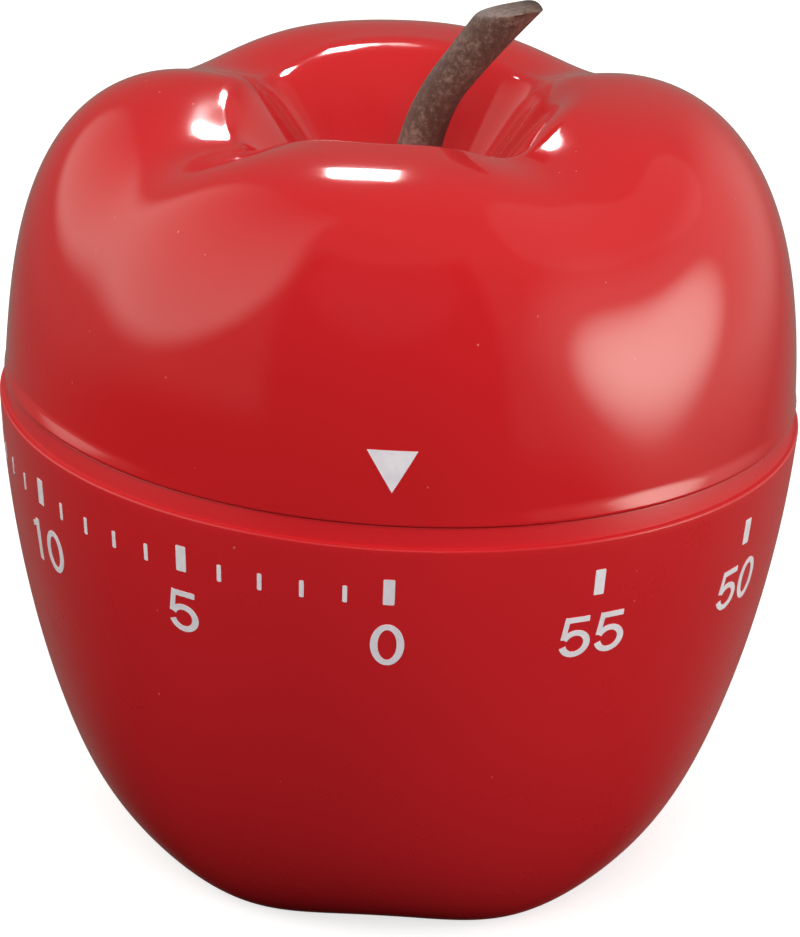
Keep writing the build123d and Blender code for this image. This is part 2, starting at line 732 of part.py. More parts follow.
def make_stop():
    """Disc with one tab, and the pin on the top plate that the tab meets at both ends."""
    tab_angle = STOP_PIN_ANGLE - (360 - TRAVEL) / 2
    with BuildPart() as stop:
        disc(STOP_R, STOP_Z, STOP_Z + CAM_THICK)
        disc(2 * MAIN_R, STOP_Z + CAM_THICK, STOP_Z + 2 * CAM_THICK)
        bar(0.5, MAIN, polar(STOP_PIN_CIRCLE_R + 0.8, tab_angle), STOP_Z, STOP_Z + CAM_THICK)
        drill(MAIN_R + PUSH_GAP, [MAIN], STOP_Z, STOP_Z + 2 * CAM_THICK)
    save(stop, "stop_disc")
    with BuildPart() as pin:
        place = polar(STOP_PIN_CIRCLE_R, STOP_PIN_ANGLE)
        disc(STOP_PIN_R, TOP_PLATE_Z + PLATE_THICK, STOP_Z + CAM_THICK + 0.6, place)
    save(pin, "stop_pin")


# ---------------------------------------------------------------- time train
def make_time_train():
    values = (MAIN_TEETH, MAIN_MODULE, PINION_TEETH, SECOND_ANGLE)
    crossing = (10.8, 7.9, 6, 1.6)
    bore = MAIN_R + PUSH_GAP
    gear("main_wheel", wheel_outline, values, MAIN, MAIN_WHEEL_Z, MAIN_WHEEL_THICK, bore, crossing)

    arbor("second_arbor", SECOND, SECOND_ARBOR_R, PIVOT_R)
    values = (PINION_TEETH, MAIN_MODULE, SECOND_ANGLE + 180 + 180 / PINION_TEETH)
    gear("second_pinion", pinion_outline, values, SECOND, SECOND_PINION_Z, 2.0, SECOND_ARBOR_R)
    aim = direction(SECOND, THIRD)
    values = (SECOND_TEETH, SECOND_MODULE, PINION_TEETH, aim)
    crossing = (8.2, 2.0, 4, 1.1)
    bore = SECOND_ARBOR_R
    gear("second_wheel", wheel_outline, values, SECOND, SECOND_WHEEL_Z, WHEEL_THICK, bore, crossing)

    arbor("third_arbor", THIRD, THIRD_ARBOR_R, PIVOT_R)
    values = (PINION_TEETH, SECOND_MODULE, aim + 180 + 180 / PINION_TEETH)
    gear("third_pinion", pinion_outline, values, THIRD, THIRD_PINION_Z, 1.8, THIRD_ARBOR_R)
    aim = direction(THIRD, ESCAPE)
    values = (THIRD_TEETH, THIRD_MODULE, LAST_PINION_TEETH, aim)
    crossing = (5.9, 1.6, 4, 0.9)
    bore = THIRD_ARBOR_R
    gear("third_wheel", wheel_outline, values, THIRD, THIRD_WHEEL_Z, WHEEL_THICK, bore, crossing)

    arbor("escape_arbor", ESCAPE, FINE_ARBOR_R, FINE_PIVOT_R)
    values = (LAST_PINION_TEETH, THIRD_MODULE, aim + 180 + 180 / LAST_PINION_TEETH)
    gear("escape_pinion", pinion_outline, values, ESCAPE, ESCAPE_PINION_Z, 1.6, FINE_ARBOR_R)
    facing = LEVER_LINE + PALLET_SPREAD + 180 / ESCAPE_TEETH
    values = (ESCAPE_TEETH, 2.3, ESCAPE_TIP_R, facing)
    crossing = (1.9, 0.8, 4, 0.5)
    bore = FINE_ARBOR_R
    gear("escape_wheel", pointed_outline, values, ESCAPE, ESCAPE_WHEEL_Z, WHEEL_THICK, bore, crossing)


def make_pallets():
    """Lever with two pins over the escape wheel and a fork towards the balance."""
    pin_circle = ESCAPE_TIP_R + PALLET_PIN_R + PIN_AIR
    pins = [polar(pin_circle, LEVER_LINE + side * PALLET_SPREAD, ESCAPE) for side in (-1, 1)]
    fork = polar(FORK_LENGTH, LEVER_LINE, PALLET)
    with BuildPart() as lever:
        disc(0.9, LEVER_Z, LEVER_Z + WHEEL_THICK, PALLET)
        for pin in pins:
            bar(0.7, PALLET, pin, LEVER_Z, LEVER_Z + WHEEL_THICK)
            disc(0.4, LEVER_Z, LEVER_Z + WHEEL_THICK, pin)
            disc(PALLET_PIN_R, ESCAPE_WHEEL_Z - 0.3, LEVER_Z, pin)
        bar(1.3, PALLET, fork, LEVER_Z, LEVER_Z + WHEEL_THICK)
        slot_start = polar(FORK_LENGTH - 1.0, LEVER_LINE, PALLET)
        slot_end = polar(FORK_LENGTH + 0.2, LEVER_LINE, PALLET)
        bar(0.5, slot_start, slot_end, LEVER_Z, LEVER_Z + WHEEL_THICK, Mode.SUBTRACT)
        drill(FINE_ARBOR_R, [PALLET], LEVER_Z - 1, LEVER_Z + 1)
    save(lever, "pallet_lever")
    arbor("pallet_arbor", PALLET, FINE_ARBOR_R, FINE_PIVOT_R)


def make_balance():
    """Balance wheel with two arms, its staff, its roller and its hairspring."""
    with BuildPart() as wheel:
        disc(BALANCE_R, BALANCE_Z, BALANCE_Z + BALANCE_THICK, BALANCE)
        drill(BALANCE_BORE_R, [BALANCE], BALANCE_Z, BALANCE_Z + BALANCE_THICK)
        with BuildSketch(Plane((*BALANCE, BALANCE_Z + 0.1))):
            Rectangle(2 * BALANCE_BORE_R + 0.6, 0.9)
            Circle(1.1)
        extrude(amount=0.5)
        drill(STAFF_R, [BALANCE], BALANCE_Z, BALANCE_Z + BALANCE_THICK)
    save(wheel, "balance_wheel")
    arbor("balance_staff", BALANCE, STAFF_R, FINE_PIVOT_R)
    with BuildPart() as roller:
        disc(1.9, ROLLER_Z, ROLLER_Z + 0.5, BALANCE)
        disc(0.2, ROLLER_Z - 1, ROLLER_Z + 0.1, polar(1.5, LEVER_LINE + 180, BALANCE))
        drill(STAFF_R, [BALANCE], ROLLER_Z, ROLLER_Z + 1)
    save(roller, "balance_roller")
    spiral_strip("hairspring", BALANCE, 1.1, 3.6, 4, 0.12, HAIRSPRING_Z, 0.4)
    with BuildPart() as stud:
        disc(0.5, HAIRSPRING_Z - 0.2, TOP_PLATE_Z, polar(4.16, 0, BALANCE))
    save(stud, "hairspring_stud")


def make_mainspring():
    spiral_strip("mainspring", MAIN, 2.3, 8.3, 6, 0.3, MAINSPRING_Z, MAINSPRING_H)
    with BuildPart() as post:
        top = MAINSPRING_Z + MAINSPRING_H + 0.5
        disc(SPRING_POST_R, LOW_PLATE_Z + PLATE_THICK, top, polar(9.05, 0))
    save(post, "mainspring_anchor")


# ---------------------------------------------------------------- alarm
def make_barrel():
    """Toothed barrel with its lid, its spring and its fixed arbor."""
    with BuildPart() as drum:
        disc(BARREL_R, BARREL_Z, BARREL_WHEEL_Z, BARREL)
        with BuildSketch(Plane((*BARREL, BARREL_WHEEL_Z))):
            with BuildLine():
                wheel_outline(BARREL_TEETH, BARREL_MODULE, PINION_TEETH, STAR_DIRECTION)
            make_face()
        extrude(amount=0.8)
        drill(BARREL_BORE_R, [BARREL], BARREL_Z, BARREL_WHEEL_Z)
        drill(BARREL_ARBOR_R + RUN_GAP, [BARREL], BARREL_WHEEL_Z, BARREL_WHEEL_Z + 1)
    save(drum, "alarm_barrel")
    with BuildPart() as lid:
        disc(BARREL_BORE_R, BARREL_Z, BARREL_Z + 0.5, BARREL)
        drill(BARREL_ARBOR_R + RUN_GAP, [BARREL], BARREL_Z, BARREL_Z + 0.5)
    save(lid, "barrel_lid")
    spiral_strip("alarm_spring", BARREL, 1.6, 4.4, 4, 0.25, BARREL_Z + 0.8, 3.8)
    with BuildPart() as rod:
        disc(BARREL_PIVOT_R, LOW_PLATE_Z, TOP_PLATE_Z + PLATE_THICK, BARREL)
        disc(BARREL_ARBOR_R, LOW_PLATE_Z + PLATE_THICK, TOP_PLATE_Z, BARREL)
    save(rod, "barrel_arbor")


def make_strike_train():
    arbor("strike_arbor", STAR, STAR_ARBOR_R, PIVOT_R)
    facing = STAR_DIRECTION + 180 + 180 / PINION_TEETH
    leaf_values = (PINION_TEETH, BARREL_MODULE, facing)
    gear("strike_pinion", pinion_outline, leaf_values, STAR, STRIKE_PINION_Z, 1.6, STAR_ARBOR_R)
    facing = HAMMER_DIRECTION + STAR_PIN_SPREAD + 180 / STAR_TEETH
    values = (STAR_TEETH, 2.7, STAR_TIP_R, facing)
    gear("strike_wheel", pointed_outline, values, STAR, STAR_Z, 0.6, STAR_ARBOR_R)


def hammer_head_place():
    """Middle of the hammer head, square to the rim of the bell."""
    reach = BELL_R + HAMMER_AIR + HAMMER_HEAD_R
    span = hypot(BELL[0] - HAMMER[0], BELL[1] - HAMMER[1])
    arm = sqrt(span**2 - reach**2)
    return polar(arm, direction(HAMMER, BELL) + degrees(asin(reach / span)), HAMMER)


def make_hammer():
    pin_circle = STAR_TIP_R + STAR_PIN_R + 0.1
    sides = (-STAR_PIN_SPREAD, STAR_PIN_SPREAD)
    pins = [polar(pin_circle, HAMMER_DIRECTION + side, STAR) for side in sides]
    verge_z = STAR_Z + 1.0
    with BuildPart() as verge:
        disc(1.2, verge_z, verge_z + VERGE_THICK, HAMMER)
        for pin in pins:
            bar(0.9, HAMMER, pin, verge_z, verge_z + VERGE_THICK)
            disc(0.5, verge_z, verge_z + VERGE_THICK, pin)
            disc(STAR_PIN_R, STAR_Z - 0.1, verge_z, pin)
        drill(SECOND_ARBOR_R, [HAMMER], verge_z - 1, verge_z + 1)
    save(verge, "hammer_verge")
    with BuildPart() as rod:
        disc(PIVOT_R, LOW_PLATE_Z, TOP_PLATE_Z + PLATE_THICK, HAMMER)
        disc(SECOND_ARBOR_R, LOW_PLATE_Z + PLATE_THICK + END_SHAKE, TOP_PLATE_Z - END_SHAKE, HAMMER)
        disc(HAMMER_LOW_R, HAMMER_ARM_Z - 0.2, LOW_PLATE_Z + PLATE_THICK + 1, HAMMER)
    save(rod, "hammer_arbor")
    head = hammer_head_place()
    arm_top = HAMMER_ARM_Z + HAMMER_ARM_THICK
    with BuildPart() as arm:
        disc(1.4, HAMMER_ARM_Z, arm_top, HAMMER)
        bar(1.2, HAMMER, head, HAMMER_ARM_Z, arm_top)
        disc(0.6, HAMMER_HEAD_Z, arm_top, head)
        drill(HAMMER_LOW_R, [HAMMER], HAMMER_ARM_Z, arm_top)
    save(arm, "hammer_arm")
    with BuildPart() as weight:
        disc(HAMMER_HEAD_R, HAMMER_HEAD_Z, HAMMER_ARM_Z - 0.2, head)
        drill(0.6, [head], HAMMER_HEAD_Z, HAMMER_ARM_Z)
    save(weight, "hammer_head")


def make_bell():
    """Domed bell, the post it hangs from and the nut under it."""
    crown_z = BELL_CROWN_Z
    under_z = BELL_CROWN_Z - BELL_WALL
    bore_r = BELL_R - BELL_WALL
    with BuildPart() as bell:
        with BuildSketch(Plane((*BELL, 0), x_dir=(1, 0, 0), z_dir=(0, -1, 0))):
            with BuildLine():
                Line((0, crown_z), (3.0, crown_z))
                ThreePointArc((3.0, crown_z), (8.9, crown_z - 2.1), (BELL_R, BELL_RIM_Z))
                Line((BELL_R, BELL_RIM_Z), (bore_r, BELL_RIM_Z))
                ThreePointArc((bore_r, BELL_RIM_Z), (8.3, crown_z - 2.7), (3.0, under_z))
                Line((3.0, under_z), (0, under_z))
                Line((0, under_z), (0, crown_z))
            make_face()
        revolve(axis=Axis((*BELL, 0), (0, 0, 1)))
        drill(BELL_BOLT_R, [BELL], under_z, crown_z)
    save(bell, "bell")
    with BuildPart() as post:
        disc(2 * BELL_BOLT_R, crown_z, LOW_PLATE_Z, BELL)
        disc(BELL_BOLT_R, BELL_NUT_Z - 0.8, crown_z, BELL)
    save(post, "bell_post")
    with BuildPart() as nut:
        with BuildSketch(Plane((*BELL, BELL_NUT_Z))):
            RegularPolygon(2.2, 6)
            Circle(BELL_BOLT_R, mode=Mode.SUBTRACT)
        extrude(amount=under_z - BELL_NUT_Z)
    save(nut, "bell_nut")


def make_release_lever():
    """Lever whose nose drops into the cam's notch, its post and the wire spring behind it."""
    nose = polar(CAM_R + 0.75, LEVER_NOSE_ANGLE)
    inward = direction(LEVER_POST, nose)
    tail = polar(6.5, inward + 160, LEVER_POST)
    plate_top = TOP_PLATE_Z + PLATE_THICK
    lever_top = CAM_Z + CAM_THICK
    with BuildPart() as lever:
        disc(1.5, CAM_Z, lever_top, LEVER_POST)
        bar(LEVER_WIDTH, LEVER_POST, nose, CAM_Z, lever_top)
        disc(0.6, CAM_Z, lever_top, nose)
        bar(1.1, LEVER_POST, tail, CAM_Z, lever_top)
        drill(LEVER_PIN_R + RUN_GAP, [LEVER_POST], CAM_Z, lever_top)
    save(lever, "release_lever")
    with BuildPart() as post:
        disc(1.1, plate_top, CAM_Z - 0.1, LEVER_POST)
        disc(LEVER_PIN_R, plate_top, lever_top + 0.1, LEVER_POST)
        disc(1.1, lever_top + 0.1, lever_top + 0.6, LEVER_POST)
    save(post, "lever_post")
    foot = polar(20.5, -50)
    side = LEVER_WIDTH / 2 + LEVER_WIRE / 2 + RUN_GAP
    tip = polar(side, inward - 90, polar(6.0, inward, LEVER_POST))
    with BuildPart() as spring:
        disc(0.7, plate_top, lever_top + 0.4, foot)
        bar(LEVER_WIRE, foot, tip, CAM_Z + 0.1, CAM_Z + 0.7)
    save(spring, "lever_spring")


# ---------------------------------------------------------------- build everything
os.makedirs("parts", exist_ok=True)
make_top_shell()
make_stem()
make_base_shell()
make_bottom_cover()
make_cover_screws()
make_plate("bottom_plate", LOW_PLATE_Z, HAMMER_LOW_R + RUN_GAP)
make_plate("top_plate", TOP_PLATE_Z, PIVOT_R + RUN_GAP)
make_pillars()
make_movement_screws()
make_main_arbor()
make_ratchet()
make_alarm_cam()
make_stop()
make_time_train()
make_pallets()
make_balance()
make_mainspring()
make_barrel()
make_strike_train()
make_hammer()
make_bell()
make_release_lever()
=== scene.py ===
"""Looks of the apple-shaped kitchen timer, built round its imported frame.

The shells are dense meshes made from the same formulas as the CAD solids. The printed scale, the
pointer and the stem are made here too. The movement keeps its CAD meshes and gets materials.
"""

import json
import math

import bmesh
import bpy
import numpy as np
from mathutils import Matrix, Vector
from mathutils.geometry import delaunay_2d_cdt


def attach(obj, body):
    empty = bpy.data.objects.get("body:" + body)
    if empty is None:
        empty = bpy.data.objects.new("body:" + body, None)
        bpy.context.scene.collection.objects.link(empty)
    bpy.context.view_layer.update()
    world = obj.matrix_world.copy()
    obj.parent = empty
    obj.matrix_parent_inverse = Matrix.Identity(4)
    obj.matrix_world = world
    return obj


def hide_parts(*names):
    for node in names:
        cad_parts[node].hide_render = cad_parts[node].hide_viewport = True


MM = 0.001
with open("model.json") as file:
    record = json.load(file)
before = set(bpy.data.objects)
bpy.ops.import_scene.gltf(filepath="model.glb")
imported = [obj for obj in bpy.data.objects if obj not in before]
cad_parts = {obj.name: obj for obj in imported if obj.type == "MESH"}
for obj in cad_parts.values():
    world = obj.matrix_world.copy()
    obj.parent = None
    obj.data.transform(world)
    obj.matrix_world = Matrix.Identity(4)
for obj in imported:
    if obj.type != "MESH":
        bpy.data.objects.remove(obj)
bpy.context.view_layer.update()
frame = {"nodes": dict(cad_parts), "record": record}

# ---------------------------------------------------------------- sizes, in millimetres
SEAM_R = 32.0
SEAM_Z = 38.6
WALL = 2.0
AROUND = 320  # mesh columns round a shell
SIDE_RINGS = 70  # mesh rings down the side of the lower shell

TOP_RIM_R = 0.99 * SEAM_R
TOP_RIM_H = 0.054 * SEAM_R
CREST_R = 0.461 * SEAM_R
CREST_H = 0.839 * SEAM_R
DIMPLE_R = 0.07 * SEAM_R
DIMPLE_H = 0.485 * SEAM_R
SHOULDER_R = 0.743
SHOULDER_H = 0.712
VALLEY_DEPTH = 0.085 * SEAM_R
VALLEY_FADE = 0.875
VALLEYS = [(-128, 20.2, 0.82), (-62, 23.6, 1.21), (38, 18.4, 0.70), (136, 21.6, 0.86)]
LOBES = [(0, -1.0), (-90, -0.7), (90, 0.45), (180, -1.25)]
TOP_LEAN = -0.035
RIM_SWEEP = 2.2  # the shoulder's curve stops this many degrees above the rim
RIM_ROUND = 0.14
HUB_R = 5.0
HUB_BORE_R = 1.52
HUB_BORE_TOP_Z = 49.1
HUB_Z = 40.0
SKIRT_R = 28.6
SKIRT_WALL = 0.7
SKIRT_DROP = 0.6
SKIRT_ROOM = 1.0  # the skirt's groove goes this far over the rim

FOOT_R = 0.525 * SEAM_R
BASE_DEPTH = SEAM_Z + 0.2
BASE_TAPER = 0.0755
BASE_FALL = 1.95
BASE_ROUND = 1.9
BASE_LEAN = 0.014
FEET = 5
FOOT_BAND = 0.1 * SEAM_R
FOOT_RISE = 2.4
CLEFT_H = 1.15
CLEFT_START = 0.7
FLOOR_Z = 4.4
FLOOR_R = 17.0
FLOOR_BEVEL = (2.6, 0.9)
SEAM_ROUND = 0.22
COLLAR_R = 31.55
COLLAR_BORE_R = 28.9
COLLAR_H = TOP_RIM_H - 0.12
COLLAR_DRAFT = 0.15
COLLAR_ROUND = 0.1
COLLAR_ROOT = [(0.0, 0.3), (0.03, 0.04), (0.12, 0.0)]  # outwards, up
BORE_ROUND = 0.15
BORE_DROP = 1.2
RECESS_R = 13.8
RECESS_Z = 2.6
OPENING_R = 9.4
PILLAR_CIRCLE_R = 20.5
PILLAR_ANGLES = [45, 188, 300]
BOSS_R = 2.3
BOSS_Z = 9.0
BOSS_TOP_Z = 15.0
BOSS_HOLE = (0.95, 10.2)
BOSS_COLUMNS = 48

# Printed scale
PEN_UP = 0.165  # stroke widths of a digit one unit tall
PEN_LEVEL = 0.135
PRINT_PROUD = 0.03
PRINT_SUNK = 0.03
TICK_DROP = 0.113 * SEAM_R
MINOR_DROP = 0.0125 * SEAM_R
MAJOR_TICK = (0.88, 2.15)
MINOR_TICK = (0.36, 1.42)
MINOR_MINUTES = 15
TICK_CORNER = 0.1
PRINT_SPACING = 0.35
NUMERAL_DROP = 0.255 * SEAM_R
NUMERAL_H = 3.5
DIGIT_PITCH = 0.87
POINTER_H = 6.35
POINTER_SIZE = (3.85, 3.45)

# Camera
CAMERA_ELEVATION = math.radians(22.016)
CAMERA_ROLL = math.radians(-3.188)
CAMERA_DISTANCE = 12.915 * SEAM_R
CAMERA_TARGET = Vector((0.011 * SEAM_R, 0, SEAM_Z - 0.2 * SEAM_R))
CAMERA_FOCAL = 6.4025  # focal length as a share of the frame's width
SENSOR = 36.0

# Studio: strengths are radiances, angles are degrees, azimuth 0 is the camera's side and 90 is +X.
FLOOR_HALF = 3.0  # metres, like the lamps' distance and sizes
FILL_DISTANCE = 1.5
FILLS = [  # name, azimuth, elevation, size, power
    ("key", -3, 39, 1.2, 16.2),
    ("right_fill", 80, 12, 1.0, 2.6),
    ("back_fill", 170, 58, 1.0, 3.5),
]
LIGHT_TINT = (1.0, 0.97, 0.87)
AMBIENT = 0.25
AMBIENT_TURN = (34.0, 44.0)
AMBIENT_LIFT = (52.0, 60.0)
AMBIENT_FOOT = (-14.0, -6.0)
FLOOR_GLOW = 0.22
FLOOR_GLOW_TURN = (80.0, 155.0)
FLOOR_GLOW_TOP = (-6.0, -14.0)
FLOOR_GLOW_FOOT = (-45.0, -30.0)
# Softboxes: centre (azimuth, elevation), half size, tilt, edge softness, strength, and how much of
# the strength is lost from one side to the other, across and upwards.
SOFTBOXES = [
    ((-95, 38), (57, 44), 0, 0.3, 0.9, (0.55, -1.0)),
    ((104, 12), (62, 34), 0, 0.75, 0.65, (-0.35, -0.3)),
    ((83, 7), (23, 17), 8, 0.95, 4.9, (-0.6, 0.0)),
    ((112, 48), (38, 18), 0, 0.3, 0.25, (0.0, 0.0)),
]
# Small bright panel over the back of the object: place, aim, size, spread, and the light it gives.
PANEL_PLACE = Vector((-9.0, 31.0, 112.0))
PANEL_AIM = Vector((-13.0, -3.0, 64.0))
PANEL_SIZE = (12.0, 13.0)
PANEL_SPREAD = math.radians(44)
PANEL_POWER = 0.010


# ---------------------------------------------------------------- shell formulas
def valley(angle):
    """How much of the valley depth is reached in each direction, counted from the front."""
    total = np.zeros_like(angle)
    for middle, width, share in VALLEYS:
        off = (angle - middle + 180) % 360 - 180
        total += share * np.exp(-((off / width) ** 2))
    return total


def lobe(angle):
    """Rise of the crest in each direction."""
    total = np.zeros_like(angle)
    for middle, rise in LOBES:
        total += rise * (0.5 + 0.5 * np.cos(np.radians(angle - middle))) ** 2
    return total


def shoulder(sweep):
    """Radius, height, outward normal, valley share and lobe share, from rim to crest."""
    turn = math.radians(sweep)
    radius = CREST_R + (TOP_RIM_R - CREST_R) * math.cos(turn) ** SHOULDER_R
    height = CREST_H * math.sin(turn) ** SHOULDER_H
    share = (height / CREST_H) ** VALLEY_FADE
    return radius, height, (math.cos(turn), math.sin(turn)), share, share


def dimple(share):
    """The same five values from the crest, at 0, to the floor of the dimple, at 1."""
    radius = CREST_R + (DIMPLE_R - CREST_R) * share
    height = DIMPLE_H + (CREST_H - DIMPLE_H) * (math.cos(math.pi * share) + 1) / 2
    side = -0.6 * math.sin(math.pi * share)
    return radius, height, (side, math.sqrt(1 - side * side)), 1 - share * share, 1 - share


def directions():
    """Direction of each mesh column in degrees, counted from the front towards +X."""
    return np.arange(AROUND) * 360 / AROUND


def top_ring(station, inset):
    """One ring of the upper shell, moved inwards by inset."""
    radius, height, normal, dent, lift = station
    angle = directions()
    depth = VALLEY_DEPTH * dent * valley(angle) + inset
    out = radius - normal[0] * depth
    up = height - normal[1] * depth + lift * lobe(angle)
    turn = np.radians(angle)
    return np.stack([out * np.sin(turn) + TOP_LEAN * up, -out * np.cos(turn), SEAM_Z + up], 1)


def level_ring(radius, height, across=0.0, cleft=0.0):
    """Round ring, lifted in the foot clefts by cleft."""
    angle = directions()
    turn = np.radians(angle)
    up = height + cleft * (1 + np.cos(FEET * turn)) / 2
    return np.stack([radius * np.sin(turn) + across, -radius * np.cos(turn), up], 1)


def base_radius(share):
    """Outer radius of the lower shell at a share of its depth."""
    wall_line = SEAM_R * (1 - BASE_TAPER * share)
    return FOOT_R + (wall_line - FOOT_R) * (1 - share**BASE_FALL) ** (1 / BASE_ROUND)


def base_point(angle, drop, proud):
    """Point of the lower shell's wall in one direction, drop below the seam, moved outwards."""
    share = drop / BASE_DEPTH
    slope = (base_radius(share + 0.01) - base_radius(share)) / (0.01 * BASE_DEPTH)
    size = math.hypot(1, slope)
    radius = base_radius(share) + proud / size
    turn = math.radians(angle)
    height = SEAM_Z - drop + proud * slope / size
    return Vector((radius * math.sin(turn) + BASE_LEAN * drop, -radius * math.cos(turn), height))


def top_point(angle, height, proud):
    """Point of the upper shell's wall in one direction at a height above the seam, moved outwards."""
    ratio = (height / CREST_H) ** (1 / SHOULDER_H)
    sweep = math.degrees(math.asin(ratio))
    radius, _, normal, dent, lift = shoulder(sweep)
    at = np.array([float(angle)])
    depth = VALLEY_DEPTH * dent * valley(at)[0]
    out = radius - normal[0] * depth + proud
    up = height - normal[1] * depth + lift * lobe(at)[0]
    turn = math.radians(angle)
    return Vector((out * math.sin(turn) + TOP_LEAN * up, -out * math.cos(turn), SEAM_Z + up))


# ---------------------------------------------------------------- mesh helpers
def link(name, mesh):
    """Object for a mesh, linked to the scene."""
    piece = bpy.data.objects.new(name, mesh)
    bpy.context.scene.collection.objects.link(piece)
    return piece


def ring_arrays(rings, loop):
    """Vertices and faces of a skin over rings: closed on itself, or capped at both ends."""
    count = len(rings[0])
    points = np.concatenate(rings)
    faces = []
    last = len(rings) if loop else len(rings) - 1
    for row in range(last):
        low = row * count
        high = (row + 1) % len(rings) * count
        for step in range(count):
            after = (step + 1) % count
            faces.append((low + step, low + after, high + after, high + step))
    points = [tuple(point) for point in points]
    if not loop:
        for row, flip in ((0, True), (len(rings) - 1, False)):
            centre = len(points)
            points.append(tuple(rings[row].mean(0)))
            for step in range(count):
                pair = (row * count + step, row * count + (step + 1) % count)
                faces.append((*(pair[::-1] if flip else pair), centre))
    return points, faces


def skin(name, groups):
    """Smooth mesh, in millimetres, of one or more ring skins: (rings, closed on itself)."""
    points, faces = [], []
    for rings, loop in groups:
        start = len(points)
        new_points, new_faces = ring_arrays(rings, loop)
        points += new_points
        faces += [tuple(start + corner for corner in face) for face in new_faces]
    mesh = bpy.data.meshes.new(name)
    mesh.from_pydata([tuple(value * MM for value in point) for point in points], [], faces)
    work = bmesh.new()
    work.from_mesh(mesh)
    bmesh.ops.recalc_face_normals(work, faces=work.faces)
    work.to_mesh(mesh)
    work.free()
    mesh.shade_smooth()
    return link(name, mesh)


def sharpen(piece, angle):
    """Keep smooth shading but break it at edges sharper than the angle."""
    piece.data.set_sharp_from_angle(angle=math.radians(angle))


def rounded(corner, start, end, radius, steps=5):
    """Profile points that round a corner between the ways to start and end."""
    corner, start, end = (np.array(point, float) for point in (corner, start, end))
    first = (start - corner) / np.linalg.norm(start - corner)
    second = (end - corner) / np.linalg.norm(end - corner)
    points = []
    for step in range(steps + 1):
        share = step / steps
        blend = (1 - share) ** 2 * first + share**2 * second
        points.append(tuple(corner + radius * blend))
    return points


# ---------------------------------------------------------------- shells
def make_top_shell():
    """Outer skin from the dimple over the crest to the rim, then the inside up to the hub."""
    rings = [top_ring(dimple(1 - step / 40), 0) for step in range(40)]
    rings += [top_ring(shoulder(90 - sweep), 0) for sweep in range(0, 60, 2)]
    rings += [top_ring(shoulder(30 - sweep), 0) for sweep in range(0, 22, 1)]
    rim_z = SEAM_Z + TOP_RIM_H
    rings += [top_ring(shoulder(sweep), 0) for sweep in (8, 7, 6, 5, 4, 3, RIM_SWEEP)]
    rings.append(level_ring(TOP_RIM_R, rim_z + 2 * RIM_ROUND))
    corner = (TOP_RIM_R, rim_z)
    for radius, height in rounded(corner, (TOP_RIM_R, rim_z + 1), (0, rim_z), RIM_ROUND):
        rings.append(level_ring(radius, height))
    rings.append(level_ring(SKIRT_R + 0.1, rim_z))
    rings.append(level_ring(SKIRT_R, rim_z - 0.1))
    rings.append(level_ring(SKIRT_R, SEAM_Z - SKIRT_DROP))
    rings.append(level_ring(SKIRT_R - SKIRT_WALL, SEAM_Z - SKIRT_DROP))
    rings.append(level_ring(SKIRT_R - SKIRT_WALL, rim_z + SKIRT_ROOM))
    rings.append(level_ring(TOP_RIM_R - WALL, rim_z + SKIRT_ROOM))
    rings += [top_ring(shoulder(sweep), WALL) for sweep in range(8, 92, 3)]
    rings += [top_ring(dimple(step / 20), WALL) for step in range(1, 13)]
    under = SEAM_Z + DIMPLE_H - WALL
    rings.append(level_ring(HUB_R, under + 1.5))
    rings.append(level_ring(HUB_R, HUB_Z))
    rings.append(level_ring(HUB_BORE_R, HUB_Z))
    rings.append(level_ring(HUB_BORE_R, HUB_BORE_TOP_Z))
    shell = skin("upper_shell", [(rings, False)])
    sharpen(shell, 50)
    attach(shell, "dial")
    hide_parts("top_shell")
    return shell


def flat_foot(ring):
    """The ring with everything under the table plane raised to it."""
    ring[:, 2] = np.maximum(ring[:, 2], 0)
    return ring


